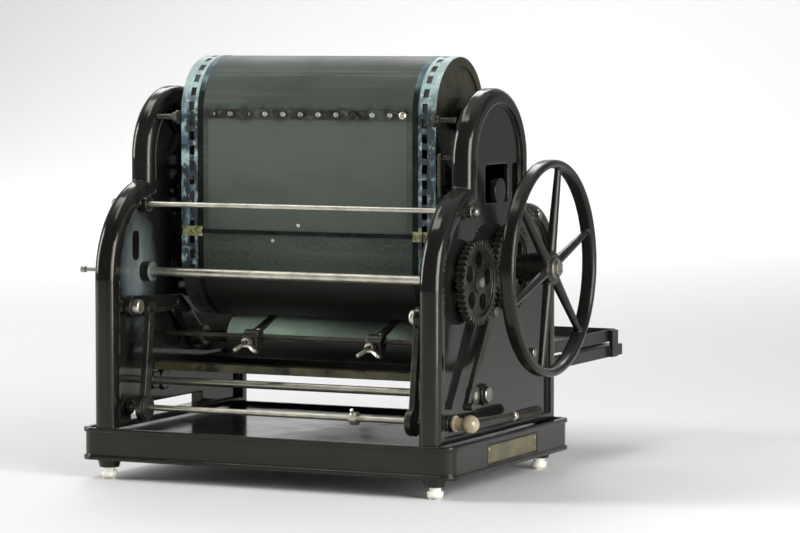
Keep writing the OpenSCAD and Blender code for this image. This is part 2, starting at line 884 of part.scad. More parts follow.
module main_shaft() {
    color(steel) place() bar_x(shaft_r, -frame_out - 12, hub_out, cyl_y, low_z);
}

module shaft_collar() {
    color(nickel) place() difference() {
        bar_x(shaft_r * 1.7, -frame_out - 9, -frame_out - pass_gap, cyl_y, low_z);
        bar_x(shaft_r + press_fit, -frame_out - 10, -frame_out, cyl_y, low_z);
    }
}

// Half angle of an involute tooth at radius r, for n teeth
function involute(a) = tan(a) - a * PI / 180;
function half_tooth(n, r) =
    let (pitch_r = gear_module * n / 2)
    let (base_r = pitch_r * cos(pressure_angle))
    let (at = acos(min(1, base_r / r)))
    (PI / (2 * n) - backlash / (2 * pitch_r) + involute(pressure_angle) - involute(at)) * 180 / PI;

module gear_outline(n) {
    pitch_r = gear_module * n / 2;
    tip_r = pitch_r + 0.9 * gear_module;
    root_r = pitch_r - 1.2 * gear_module;
    flank = [for (i = [0 : flank_steps]) root_r + (tip_r - root_r) * i / flank_steps];
    polygon([
        for (tooth = [0 : n - 1])
            for (p = concat(
                [for (r = flank) [r, -half_tooth(n, r)]],
                [for (i = [flank_steps : -1 : 0]) [flank[i], half_tooth(n, flank[i])]]
            ))
                p[0] * [cos(p[1] + tooth * 360 / n), sin(p[1] + tooth * 360 / n)]
    ]);
}

module gear(n, bore, turn, y, z) {
    pitch_r = gear_module * n / 2;
    rim_in = pitch_r - 1.2 * gear_module - 4;
    boss_r = bore + 6;
    dish = 2.5;
    hole_r = (rim_in - boss_r) / 2 - 3;
    hole_at = (rim_in + boss_r) / 2;
    difference() {
        translate([gear_x, y, z]) rotate([90, 0, 90]) rotate([0, 0, turn])
            linear_extrude(height = gear_w) gear_outline(n);
        difference() {
            bar_x(rim_in, gear_x + gear_w - dish, gear_x + gear_w + 1, y, z);
            bar_x(boss_r, gear_x, gear_x + gear_w + 1, y, z);
        }
        for (k = [0 : 4]) rotate_about_x(y, z, 72 * k + turn)
            bar_x(hole_r, gear_x - 1, gear_x + gear_w, y + hole_at, z);
        bar_x(bore + press_fit, gear_x - 1, gear_x + gear_w + 1, y, z);
    }
}

module rotate_about_x(y, z, a) {
    translate([0, y, z]) rotate([a, 0, 0]) translate([0, -y, -z]) children();
}

module drive_gear() {
    color(steel) place() gear(drive_teeth, shaft_r, 180 + gear_slope, cyl_y, low_z);
}

module handwheel() {
    rim_mid = wheel_r - wheel_rim_d / 2;
    corner = wheel_rim_d / 2 - 0.5;
    root = 2;
    reach = wheel_r - wheel_rim_d - hub_r + 2 * root;
    hub_face = wheel_x - wheel_rim_w / 2 - root;
    color(enamel) place() {
        difference() {
            union() {
                turned_x(wheel_x, cyl_y, low_z) translate([rim_mid, 0]) {
                    square([wheel_rim_d, wheel_rim_w - 2 * corner], center = true);
                    square([wheel_rim_d - 2 * corner, wheel_rim_w], center = true);
                    for (u = [-1, 1], v = [-1, 1])
                        translate([u * (wheel_rim_d / 2 - corner), v * (wheel_rim_w / 2 - corner)])
                            circle(r = corner, $fn = 24);
                }
                for (k = [0 : spoke_count - 1]) translate([wheel_x, cyl_y, low_z])
                    rotate([spoke_angle + k * 360 / spoke_count - 90, 0, 0]) translate([0, 0, hub_r - root])
                        cylinder(r1 = spoke_r_hub, r2 = spoke_r_rim, h = reach, $fn = 32);
                bar_x(hub_r, hub_face, hub_out, cyl_y, low_z);
                translate([hub_in, cyl_y, low_z]) rotate([0, 90, 0])
                    cylinder(r1 = hub_r * 0.75, r2 = hub_r, h = hub_face - hub_in);
            }
            bar_x(shaft_r + press_fit, hub_in - 1, hub_out + 1, cyl_y, low_z);
        }
    }
}

module handwheel_nut() {
    washer_t = 2;
    end = hub_out + nut_h;
    color(nickel) place() difference() {
        union() {
            bar_x(hub_r * 0.62, hub_out, hub_out + washer_t, cyl_y, low_z);
            translate([hub_out + washer_t, cyl_y, low_z]) rotate([0, 90, 0])
                cylinder(r = hub_r / 2, h = nut_h - washer_t, $fn = 6);
        }
        bar_x(shaft_r / 3, end - washer_t, end + 1, cyl_y, low_z);
    }
}

// Upper cylinder and the ink roller between the two

module upper_cylinder() {
    color(inked) place() cylinder_shell(high_z);
}

module upper_end_discs() {
    color(inked) place() both_sides() end_disc(axle_r, high_z);
}

module upper_axle() {
    end = bore_end - 1;
    color(steel) place() bar_x(axle_r, -end, end, cyl_y, high_z);
}

module ink_roller() {
    color(rubber_green) place() difference() {
        bar_x(ink_r, -half_silk, half_silk, cyl_y, ink_z);
        bar_x(ink_shaft_r + press_fit, -half_silk - 1, half_silk + 1, cyl_y, ink_z);
    }
}

module ink_roller_shaft() {
    end = bore_end - 1;
    color(steel) place() bar_x(ink_shaft_r, -end, end, cyl_y, ink_z);
}

// Front shaft turned by the gears

module front_shaft() {
    color(nickel) place() bar_x(front_shaft_r, -frame_out - 8, gear_x + gear_w + 2, front_y, front_z);
}

module front_gear() {
    color(steel) place() gear(front_teeth, front_shaft_r, gear_slope + 180 / front_teeth, front_y, front_z);
}

module shaft_knob() {
    stem_r = 2;
    knob_r = 3.2;
    knob_l = 5;
    start = -frame_out - 8;
    end = -frame_out - knob_reach;
    color(nickel) place() {
        bar_x(stem_r, end + 1, start, front_y, front_z);
        bar_x(knob_r, end, end + knob_l, front_y, front_z);
    }
}

// Impression roller in its two arms

module impression_roller() {
    half = press_l / 2;
    color(rubber_green) place() difference() {
        bar_x(press_r, -half, half, press_y, press_z);
        bar_x(press_r - rubber_t, -half - 1, half + 1, press_y, press_z);
    }
}

module impression_core() {
    half = press_l / 2 + 4;
    color(steel) place() difference() {
        bar_x(press_r - rubber_t - press_fit, -half, half, press_y, press_z);
        bar_x(press_axle_r + run_fit, -half - 1, half + 1, press_y, press_z);
    }
}

module impression_axle() {
    end = arm_x + arm_t;
    color(steel) place() {
        bar_x(press_axle_r, -end, end, press_y, press_z);
        both_sides() bar_x(press_axle_r + 4, half_cyl + 4, arm_x, press_y, press_z);
    }
}

module impression_arm() {
    pivot = [arm_pivot_y, arm_pivot_z];
    bend = [arm_bend_y, arm_bend_z];
    roller = [press_y, press_z];
    pin = [link_top_y, link_top_z];
    difference() {
        plate_x(arm_x, arm_x + arm_t) {
            tapered_bar(pivot, 11, bend, 7);
            tapered_bar(bend, 7, roller, 13);
        }
        plate_x(arm_x - 1, arm_x + 2) tapered_bar(pin + [20, 0], 4, bend - [8, 0], 3);
        bar_x(link_pin_r * 2 + run_fit, arm_x - 1, arm_x + arm_t + 1, arm_pivot_y, arm_pivot_z);
        bar_x(press_axle_r + press_fit, arm_x - 1, arm_x + arm_t + 1, press_y, press_z);
    }
    bar_x(link_pin_r, link_x - 1, arm_x + 1, link_top_y, link_top_z);
}

module left_impression_arm() {
    color(enamel) place() mirror([1, 0, 0]) impression_arm();
}

module right_impression_arm() {
    color(enamel) place() impression_arm();
}

module arm_pivots() {
    head_r = 7.4;
    color(nickel) place() both_sides() {
        bar_x(link_pin_r * 2, arm_x - pass_gap, bore_end, arm_pivot_y, arm_pivot_z);
        turned_x(arm_x - 7, arm_pivot_y, arm_pivot_z) {
            translate([0, 2]) square([head_r, 5 - pass_gap]);
            square([head_r - 2, 3]);
            translate([head_r - 2, 2]) circle(r = 2);
        }
    }
}

module lift_links() {
    foot = [control_y - throw, control_z];
    top = [link_top_y, link_top_z];
    color(steel) place() both_sides() difference() {
        plate_x(link_x, link_x + link_w) {
            translate(foot) circle(r = eccentric_r + link_slack + 4);
            tapered_bar(foot, 6, top, 4.5);
            translate(top) circle(r = link_pin_r + link_slack + 3.2);
        }
        bar_x(eccentric_r + link_slack, link_x - 1, link_x + link_w + 1, foot[0], foot[1]);
        bar_x(link_pin_r + link_slack, link_x - 1, link_x + link_w + 1, top[0], top[1]);
    }
}

// Control shaft, eccentrics and hand lever

module control_shaft() {
    collar_r = control_r + 3.5;
    collar_w = 7;
    collar_x = control_collar_x - collar_w / 2;
    screw_h = 5.5;
    screw_lean = 40;
    color(nickel) place() {
        bar_x(control_r, -frame_out - 3, lever_x, control_y, control_z);
        bar_x(collar_r, collar_x, collar_x + collar_w, control_y, control_z);
        translate([control_collar_x, control_y, control_z]) rotate([screw_lean, 0, 0])
            cylinder(r = collar_w / 4, h = collar_r + screw_h);
    }
}

module eccentrics() {
    flange = 1.5;
    flange_x = link_x - flange - pass_gap;
    color(steel) place() both_sides() difference() {
        union() {
            bar_x(eccentric_r, flange_x, link_x + link_w, control_y - throw, control_z);
            bar_x(eccentric_r + 2 * flange, flange_x, link_x - pass_gap, control_y - throw, control_z);
        }
        bar_x(control_r + press_fit, flange_x - 1, link_x + link_w + 1, control_y, control_z);
    }
}

// Places a bar on the lever's line, from the middle of its ball
module on_lever() {
    translate([lever_x, control_y, control_z]) rotate([-90 - lever_droop, 0, 0]) children();
}

module lever_hub() {
    neck_r = control_r * 2;
    start = frame_out + pass_gap;
    color(brass) place() difference() {
        union() {
            bar_x(neck_r, start, lever_x - lever_ball_r / 2, control_y, control_z);
            bar_x(neck_r + 2, start, start + 2, control_y, control_z);
            turned_x(lever_x, control_y, control_z) intersection() {
                circle(r = lever_ball_r);
                translate([0, -lever_ball_r]) square([lever_ball_r, 2 * lever_ball_r]);
            }
        }
        bar_x(control_r + press_fit, frame_out, lever_x, control_y, control_z);
        on_lever() translate([0, 0, control_r + 1]) cylinder(r = lever_rod_r + press_fit, h = lever_ball_r);
    }
}

module hand_lever() {
    start = control_r + 1;
    color(nickel) place() on_lever() translate([0, 0, start])
        cylinder(r = lever_rod_r, h = lever_rod_l + grip_l / 2 - start);
}

module lever_grip() {
    neck_r = 4.4;
    swell = grip_l * 0.6;
    end_h = grip_r / 2;
    color(grip_black) place() on_lever() translate([0, 0, lever_rod_l]) difference() {
        union() {
            cylinder(r1 = neck_r, r2 = grip_r, h = swell);
            translate([0, 0, swell]) cylinder(r = grip_r, h = grip_l - swell - end_h);
            translate([0, 0, grip_l - end_h]) cylinder(r1 = grip_r, r2 = end_h, h = end_h);
        }
        translate([0, 0, -1]) cylinder(r = lever_rod_r + press_fit, h = grip_l / 2 + 1);
    }
}

// Trip lever on the right frame

module trip_lever() {
    top = [trip_y, trip_z];
    foot = top + [trip_dy, trip_dz];
    eye_r = 5.6;
    color(steel) place() difference() {
        union() {
            plate_x(trip_x, trip_x + trip_t) tapered_bar(top, eye_r, foot, 3);
            bar_x(trip_knob_r, trip_x, trip_x + trip_t + trip_knob_l, foot[0], foot[1]);
        }
        bar_x(link_pin_r + run_fit, trip_x - 1, trip_x + trip_t + 1, trip_y, trip_z);
    }
}

module trip_stud() {
    head_x = trip_x + trip_t + pass_gap;
    head_h = 3;
    color(nickel) place() {
        bar_x(link_pin_r, web_out - bolt_depth, head_x + 1, trip_y, trip_z);
        bar_x(link_pin_r * 1.5, head_x, head_x + head_h, trip_y, trip_z);
        bar_x(link_pin_r + 2, web_out, trip_x - pass_gap, trip_y, trip_z);
    }
}

// Paper strippers on the guide rod, each clamped by a wing nut

module stripper(x) {
    clamp_r = 7;
    clamp_l = 13;
    clamp_h = 11;
    blade_w = 8;
    blade_r = 2.4;
    tip_r = 0.9;
    blade_l = 44;
    blade_rise = 17;
    rod = [guide_rod_y, guide_rod_z];
    root = rod + [blade_r * 2.5, blade_r * 1.6];
    tip = rod + [blade_l, blade_rise];
    color(steel) place() difference() {
        union() {
            plate_x(x - block_w / 2, x + block_w / 2) {
                translate(rod) circle(r = clamp_r);
                translate([block_front, guide_rod_z - clamp_h]) square([clamp_l, clamp_h + 1]);
            }
            plate_x(x - blade_w / 2, x + blade_w / 2) tapered_bar(root, blade_r, tip, tip_r);
            translate([x, block_front, wing_z]) rotate([90, 0, 0])
                cylinder(r = wing_screw_r, h = wing_screw_l);
        }
        bar_x(guide_rod_r + run_fit, x - block_w, x + block_w, guide_rod_y, guide_rod_z);
    }
}

module wing_nut(x) {
    hub = 4.6;
    reach = 12;
    t = 3;
    color(nickel) place() translate([x, block_front - 2, wing_z]) rotate([90, 0, 0]) difference() {
        union() {
            cylinder(r = hub, h = 7);
            for (a = [215, 325]) rotate([0, 0, a]) translate([0, t / 2, 0]) rotate([90, 0, 0])
                linear_extrude(height = t) {
                    tapered_bar([2, 3.5], 3.4, [reach, 6], 4.2);
                }
        }
        translate([0, 0, -1]) cylinder(r = wing_screw_r + run_fit, h = wing_screw_l);
    }
}

module left_stripper() {
    stripper(left_stripper_x);
}

module left_wing_nut() {
    wing_nut(left_stripper_x);
}

module right_stripper() {
    stripper(right_stripper_x);
}

module right_wing_nut() {
    wing_nut(right_stripper_x);
}

// Rails and feed table behind the frames

module table_rails() {
    beam_end = frame_in + web_inner_step;
    front_beam = 10;
    color(enamel) place() difference() {
        union() {
            both_sides() {
                translate([rail_in, rail_front, rail_z]) cube([rail_w, rail_back - rail_front, rail_h]);
                translate([rail_in + rail_w / 2 - 4, frame_back + 8, rail_z + rail_h]) cube([8, 20, rest_h]);
                translate([rail_in + rail_w, tilt_y - 8, rail_z]) cube([ear_t, 16, tilt_z + 7 - rail_z]);
            }
            translate([-beam_end, rail_front - 14, rail_z]) cube([2 * beam_end, front_beam + 4, rail_h]);
            translate([-rail_in, rail_back - rail_w, rail_z]) cube([2 * rail_in, rail_w, rail_h]);
        }
        both_sides() bar_x(tilt_r + run_fit, table_w / 2 - 1, table_w / 2 + ear_t + 2, tilt_y, tilt_z);
    }
}

module feed_table() {
    half = table_w / 2;
    lip = 5;
    slot_wide = 6;
    slot_long = table_l * 0.23;
    slot_y = table_front + table_l * 0.55;
    wall_x = half - sheet_t;
    color(enamel) place() {
        difference() {
            union() {
                translate([-half, table_front, table_z]) cube([table_w, table_l, sheet_t]);
                both_sides() translate([wall_x, table_front, table_z]) cube([sheet_t, table_l, table_flange]);
                translate([-half, table_back - sheet_t, table_z]) cube([table_w, sheet_t, table_flange]);
            }
            both_sides() for (share = [0.27, 0.54])
                translate([share * half, slot_y, table_z - 1]) cube([slot_wide, slot_long, sheet_t + 2]);
        }
        both_sides() bar_x(tilt_r, wall_x, half + pass_gap + ear_t, tilt_y, tilt_z);
        both_sides() bar_x(tilt_r + 3, wall_x - lip, wall_x, tilt_y, tilt_z);
    }
}

module side_guide() {
    foot_w = 22;
    foot_l = 52;
    guide_l = 130;
    screw_r = 6;
    screw_x = side_guide_x + foot_w * 0.6;
    y = table_front + 50;
    mid_y = y + guide_l / 2;
    z = table_z + sheet_t;
    rib = [[0, 0], [foot_w / 3, 0], [0, side_guide_h * 0.6]];
    translate([side_guide_x, y, z]) cube([sheet_t, guide_l, side_guide_h]);
    translate([side_guide_x, mid_y - foot_l / 2, z]) cube([foot_w, foot_l, sheet_t]);
    translate([screw_x, mid_y, z + sheet_t]) {
        cylinder(r = screw_r / 3, h = 3);
        translate([0, 0, 3]) cylinder(r = screw_r, h = 5);
    }
    translate([side_guide_x + sheet_t, mid_y + guide_rib / 2, z + sheet_t]) rotate([90, 0, 0])
        linear_extrude(height = guide_rib) polygon(rib);
}

module left_side_guide() {
    color(nickel) place() mirror([1, 0, 0]) side_guide();
}

module right_side_guide() {
    color(nickel) place() side_guide();
}

// Feed wheels above the front of the table

module feed_shaft() {
    end = bore_end - 1;
    color(steel) place() bar_x(feed_shaft_r, -end, end, feed_y, feed_z);
}

module feed_wheels() {
    wheel_w = 14;
    at = 70;
    color(rubber_green) place() for (x = [-at, 0, at]) difference() {
        union() {
            bar_x(feed_r, x - wheel_w / 2, x + wheel_w / 2, feed_y, feed_z);
            bar_x(feed_shaft_r + 4, x - wheel_w, x + wheel_w / 2, feed_y, feed_z);
        }
        bar_x(feed_shaft_r + press_fit, x - wheel_w - 1, x + wheel_w, feed_y, feed_z);
    }
}

base();
foot_cups();
feet();
left_side_frame();
right_side_frame();
upper_tie_rod();
lower_tie_rod();
frame_fasteners();
guide_rod();
delivery_bar();
upper_bushes();
lower_bushes();
silk_screen();
left_edge_band();
right_edge_band();
heading_strip();
heading_studs();
heading_knob();
seam_bar();
seam_clips();
band_guides();
lower_cylinder();
lower_end_discs();
main_shaft();
shaft_collar();
drive_gear();
handwheel();
handwheel_nut();
upper_cylinder();
upper_end_discs();
upper_axle();
ink_roller();
ink_roller_shaft();
front_shaft();
front_gear();
shaft_knob();
impression_roller();
impression_core();
impression_axle();
left_impression_arm();
right_impression_arm();
arm_pivots();
lift_links();
control_shaft();
eccentrics();
lever_hub();
hand_lever();
lever_grip();
trip_lever();
trip_stud();
left_stripper();
left_wing_nut();
right_stripper();
right_wing_nut();
table_rails();
feed_table();
left_side_guide();
right_side_guide();
feed_shaft();
feed_wheels();
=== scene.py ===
"""Looks of a hand driven stencil duplicator: finishes, small fittings, camera, light and floor."""

import math

import bmesh
import bpy
from mathutils import Matrix, Vector


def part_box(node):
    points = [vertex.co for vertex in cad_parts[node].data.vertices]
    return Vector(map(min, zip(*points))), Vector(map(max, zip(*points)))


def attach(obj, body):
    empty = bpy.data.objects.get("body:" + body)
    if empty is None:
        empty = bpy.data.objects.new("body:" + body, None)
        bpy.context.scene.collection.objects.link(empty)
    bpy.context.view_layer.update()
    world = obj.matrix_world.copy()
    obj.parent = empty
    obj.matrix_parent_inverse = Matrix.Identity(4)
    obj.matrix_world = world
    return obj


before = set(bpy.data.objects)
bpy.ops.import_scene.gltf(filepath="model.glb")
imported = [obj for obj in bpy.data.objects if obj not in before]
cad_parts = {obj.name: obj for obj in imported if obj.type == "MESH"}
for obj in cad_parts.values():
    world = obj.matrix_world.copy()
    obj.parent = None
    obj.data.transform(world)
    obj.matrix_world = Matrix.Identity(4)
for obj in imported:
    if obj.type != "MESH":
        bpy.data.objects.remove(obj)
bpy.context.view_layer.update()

bl_info = {
    "name": "Stencil duplicator",
    "version": (1, 0, 0),
    "blender": (4, 5, 0),
    "location": "View3D > Sidebar > Duplicator",
    "description": "Dresses the packed frame of a hand driven stencil duplicator",
    "category": "Object",
}

MM = 0.001

SCREEN_LOW, SCREEN_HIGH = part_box("silk_screen")
SEAM_LOW, SEAM_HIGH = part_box("seam_bar")
STRIP_LOW, STRIP_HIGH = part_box("heading_strip")

# Heights on the screen where its looks change
# Below this height the screen's lower end is painted dark: ink and painted shade below the front shaft
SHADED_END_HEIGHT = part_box("front_shaft")[0].z + 4 * MM
# Between these heights the edge bands grow darker towards the bottom
BANDS_PALE_ABOVE = SCREEN_HIGH.z - 31 * MM
BANDS_DARK_BELOW = SCREEN_HIGH.z - 57 * MM
HEMS_CLEAN = SCREEN_HIGH.z - 21 * MM
HEMS_SOILED = SCREEN_HIGH.z - 37 * MM
# Heights of the pale lines along creases in the silk: painted highlights
HIGHLIT_CREASES = tuple(SCREEN_HIGH.z - drop * MM for drop in (19, 15, 92, 161))

# Each snap's place across the machine, and its height from the middle of the seam
SNAP_PLACES = ((-11 * MM, 8 * MM), (-40 * MM, -8 * MM))
SNAP_FLATNESS = 0.45

DRAWN_LENGTHWISE = (1, 40, 40)
WELD = 1e-6
SHARP_ANGLE = math.radians(38)

MACHINE_MIDDLE = (0.0, -0.15, 0.2)
CAMERA_PLACE = (1.563, -3.271, 0.451)
CAMERA_TARGET = (0.012, 0.0, 0.202)
SENSOR_WIDTH = 36
SIGHT_END = 60


def shade(colour, times):
    """A colour made darker or paler."""
    return tuple(times * channel for channel in colour)


class Finish:
    """A Principled material with short names for the nodes that its colour, gloss and relief come from."""

    def __init__(self, name, **sockets):
        self.colours = bpy.context.scene.duplicator_colours
        self.material = bpy.data.materials.new(name)
        self.material.use_nodes = True
        self.tree = self.material.node_tree
        self.bsdf = self.tree.nodes["Principled BSDF"]
        self.coords = self.tree.nodes.new("ShaderNodeTexCoord").outputs["Object"]
        self.relief = None
        for socket, value in sockets.items():
            self.bsdf.inputs[socket.replace("_", " ")].default_value = value

    def node(self, kind, inputs=None, **settings):
        made = self.tree.nodes.new("ShaderNode" + kind)
        for key, value in settings.items():
            setattr(made, key, value)
        for key, value in (inputs or {}).items():
            if isinstance(value, bpy.types.NodeSocket):
                self.tree.links.new(value, made.inputs[key])
            else:
                made.inputs[key].default_value = value
        return made

    def placed(self, scale, location=(0, 0, 0)):
        """Object coordinates, stretched and moved."""
        inputs = {"Vector": self.coords, "Scale": scale, "Location": location}
        return self.node("Mapping", inputs).outputs["Vector"]

    def axis(self, letter):
        """Where a point lies along X, Y or Z."""
        return self.node("SeparateXYZ", {0: self.coords}).outputs[letter]

    def facing(self, letter, low, high):
        """How far the surface faces along X, Y or Z."""
        normal = self.node("NewGeometry").outputs["Normal"]
        return self.span(self.node("SeparateXYZ", {0: normal}).outputs[letter], low, high)

    def noise(self, scale, detail, stretch=(1, 1, 1)):
        """Soft noise of a scale, which stretch draws out."""
        inputs = {"Vector": self.placed(stretch), "Scale": scale, "Detail": detail, "Roughness": 0.55}
        return self.node("TexNoise", inputs).outputs["Fac"]

    def threads(self, letter):
        """Fine parallel threads that lie side by side along an axis."""
        inputs = {"Vector": self.coords, "Scale": 420.0, "Distortion": 0.4, "Detail": 1.0}
        return self.node("TexWave", inputs, wave_type="BANDS", bands_direction=letter).outputs["Fac"]

    def span(self, value, low, high, to_low=0.0, to_high=1.0):
        """Maps low..high of a value to to_low..to_high, and holds it there."""
        inputs = {"Value": value, "From Min": low, "From Max": high, "To Min": to_low, "To Max": to_high}
        return self.node("MapRange", inputs, clamp=True).outputs["Result"]

    def patches(self, scale, detail, low, high, to_low=0.0, to_high=1.0):
        """Noise turned into patches with softer or harder borders."""
        return self.span(self.noise(scale, detail), low, high, to_low, to_high)

    def rough(self, scale, detail, low, high):
        """Roughness that wanders between two values."""
        return self.patches(scale, detail, 0.3, 0.7, low, high)

    def math(self, operation, a, b=0.0):
        return self.node("Math", {0: a, 1: b}, operation=operation).outputs["Value"]

    def product(self, first, *others):
        """Several values multiplied."""
        for other in others:
            first = self.math("MULTIPLY", first, other)
        return first

    def mix(self, share, first, second):
        made = self.node("Mix", data_type="RGBA")
        for socket, value in ((made.inputs[0], share), (made.inputs[6], first), (made.inputs[7], second)):
            if isinstance(value, bpy.types.NodeSocket):
                self.tree.links.new(value, socket)
            else:
                socket.default_value = value if isinstance(value, float) else (*value, 1)[:4]
        return made.outputs[2]

    def height(self, low, high):
        """How far a point lies on the way from one height to another."""
        return self.span(self.axis("Z"), low, high)

    def cross_line(self, height, half_width):
        """One along a level line across the machine, nothing beside it."""
        up = self.height(height - half_width, height)
        down = self.height(height + half_width, height)
        return self.product(up, down)

    def rounded(self, radius):
        """The surface's direction, as if its edges were rounded."""
        return self.node("Bevel", {"Radius": radius}, samples=6).outputs["Normal"]

    def edges(self, radius):
        """One on sharp edges, fading to nothing a radius away from them."""
        flat = self.node("NewGeometry").outputs["Normal"]
        both = {0: self.rounded(radius), 1: flat}
        agreement = self.node("VectorMath", both, operation="DOT_PRODUCT").outputs["Value"]
        still_flat, fully_round = 0.995, 0.86
        return self.span(agreement, still_flat, fully_round)

    def bump(self, height, distance, strength):
        """Adds relief on top of the relief so far."""
        inputs = {"Height": height, "Distance": distance, "Strength": strength}
        if self.relief is not None:
            inputs["Normal"] = self.relief
        self.relief = self.node("Bump", inputs).outputs["Normal"]

    def soften(self, radius):
        """Rounds the shading of sharp edges, as a casting's or a turned piece's are."""
        self.relief = self.rounded(radius)

    def done(self, **links):
        for socket, value in links.items():
            self.tree.links.new(value, self.bsdf.inputs[socket.replace("_", " ")])
        if self.relief is not None:
            self.tree.links.new(self.relief, self.bsdf.inputs["Normal"])
        return self.material


def enamel(name, rounding=2.6 * MM, shine=0.05, dust=0.16, painted_reflection=None):
    """Stoved black enamel on iron: deep gloss, faint casting ripple, worn edges and settled dust."""
    f = Finish(name, IOR=1.5, Specular_IOR_Level=0.36, Specular_Tint=(1.0, 0.98, 0.86, 1.0))
    f.soften(rounding)
    f.bump(f.noise(38, 3), 0.5 * MM, 0.1)
    f.bump(f.noise(900, 2), 0.05 * MM, 0.1)
    worn = f.product(f.edges(0.9 * MM), f.patches(55, 6, 0.5, 0.64))
    settled = f.product(f.facing("Z", 0.5, 0.95), f.patches(24, 6, 0.34, 0.78, 0.05, dust))
    paint = f.mix(f.patches(9, 5, 0.35, 0.7), f.colours.enamel, shade(f.colours.enamel, 2.0))
    paint = f.mix(worn, paint, f.colours.worn_iron)
    paint = f.mix(settled, paint, f.colours.dust)
    # A painted reflection, where a recipe asks for one
    if painted_reflection is not None:
        paint = f.mix(painted_reflection(f), paint, f.colours.painted_reflection)
    rough = f.patches(30, 6, 0.3, 0.75, shine, shine + 0.1)
    return f.done(Base_Color=paint, Roughness=f.math("ADD", rough, f.product(settled, 0.5)))


def enamel_with_painted_reflection(name):
    """The left frame's enamel, with a painted grey blue reflection on its inner face beside the front shaft.
    """
    shaft_low, shaft_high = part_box("front_shaft")
    shaft = (shaft_low + shaft_high) / 2
    reach_y, reach_z = 34 * MM, 58 * MM
    centre_y, centre_z = shaft.y - 12 * MM, shaft.z

    def painted_reflection(f):
        oval = f.placed((0, 1 / reach_y, 1 / reach_z), (0, -centre_y / reach_y, -centre_z / reach_z))
        away = f.node("VectorMath", {0: oval}, operation="LENGTH").outputs["Value"]
        ragged = f.math("ADD", away, f.product(f.noise(30, 5), 0.8))
        runs = f.span(f.noise(60, 6, (1, 1, 0.3)), 0.3, 0.6, 0.5, 1.0)
        return f.product(f.span(ragged, 1.6, 0.7), runs, f.facing("X", 0.6, 0.9))

    return enamel(name, painted_reflection=painted_reflection)


def sheet_enamel(name):
    """The feed table's thinner black paint, dulled by paper and hands."""
    return enamel(name, rounding=1.0 * MM, shine=0.32, dust=0.12)


def wheel_enamel(name):
    """The handwheel's enamel: rounder to the eye, and rubbed by hands."""
    return enamel(name, rounding=4.5 * MM, shine=0.13, dust=0.08)


def bright_nickel(name):
    """Worn nickel plate, drawn along the piece, yellowed and spotted with age."""
    f = Finish(name, Metallic=1.0)
    f.soften(0.4 * MM)
    f.bump(f.noise(60, 4, DRAWN_LENGTHWISE), 0.03 * MM, 0.1)
    plate = f.mix(f.patches(70, 6, 0.42, 0.7), f.colours.nickel, shade(f.colours.nickel, 0.72))
    plate = f.mix(f.patches(420, 3, 0.7, 0.78), plate, f.colours.worn_iron)
    return f.done(Base_Color=plate, Roughness=f.rough(50, 5, 0.33, 0.45))


def oiled_steel(name):
    """Machined steel with a film of old oil and dirt in its corners."""
    f = Finish(name, Metallic=1.0)
    f.soften(0.4 * MM)
    f.bump(f.noise(500, 2), 0.03 * MM, 0.3)
    metal = f.mix(f.patches(45, 7, 0.4, 0.66), f.colours.steel, shade(f.colours.steel, 0.32))
    metal = f.mix(f.product(f.edges(0.7 * MM), 0.8), metal, f.colours.nickel)
    return f.done(Base_Color=metal, Roughness=f.rough(80, 6, 0.28, 0.5))


def blackened_steel(name):
    """Steel blackened by heat and oil, with bright worn edges and brown dried oil."""
    f = Finish(name, Metallic=0.85)
    f.soften(0.5 * MM)
    f.bump(f.noise(420, 3), 0.04 * MM, 0.3)
    metal = f.mix(f.patches(38, 7, 0.4, 0.66), f.colours.black_steel, shade(f.colours.black_steel, 0.4))
    rubbed = f.product(f.edges(0.6 * MM), f.patches(90, 5, 0.4, 0.62, 0.1, 0.8))
    metal = f.mix(rubbed, metal, f.colours.steel)
    return f.done(Base_Color=metal, Roughness=f.rough(70, 6, 0.26, 0.5))


def dull_brass(name):
    """Brass gone brown, still yellow on its edges."""
    f = Finish(name, Metallic=1.0)
    f.soften(0.4 * MM)
    f.bump(f.noise(300, 4), 0.04 * MM, 0.3)
    metal = f.mix(f.patches(60, 6, 0.38, 0.68), f.colours.brass, shade(f.colours.brass, 0.35))
    return f.done(Base_Color=metal, Roughness=f.rough(90, 5, 0.28, 0.5))


def greened_brass(name):
    """Thin brass of the seam clips, gone pale yellow green."""
    f = Finish(name, Metallic=0.35)
    f.bump(f.noise(320, 5), 0.08 * MM, 0.4)
    metal = f.mix(f.patches(210, 6, 0.42, 0.58), f.colours.clip, shade(f.colours.clip, 0.3))
    return f.done(Base_Color=metal, Roughness=f.rough(90, 5, 0.3, 0.5))


def inked_studs(name):
    """Small steel studs of the heading strip, some of them blacked with ink."""
    f = Finish(name, Metallic=0.8)
    inked = f.span(f.noise(34, 2, (1, 0, 0)), 0.47, 0.56)
    metal = f.mix(inked, f.colours.steel, shade(f.colours.steel, 0.08))
    return f.done(Base_Color=metal, Roughness=f.rough(90, 4, 0.4, 0.6))


def inked_metal(name, depth=0.55):
    """Painted metal under years of spilt ink: brown and olive, with black runs."""
    f = Finish(name, Metallic=0.1)
    f.soften(0.6 * MM)
    f.bump(f.noise(120, 6), 0.25 * MM, 0.35)
    brown = shade(f.colours.inked, depth)
    stain = f.mix(f.patches(26, 7, 0.36, 0.64), brown, shade(brown, 0.4))
    stain = f.mix(f.patches(44, 6, 0.52, 0.6), stain, f.colours.black_ink)
    return f.done(Base_Color=stain, Roughness=f.patches(40, 5, 0.35, 0.7, 0.28, 0.6))


def inked_bar(name):
    """The delivery bar's paint: the same ink, thinner, so that its olive shows."""
    return inked_metal(name, depth=2.4)


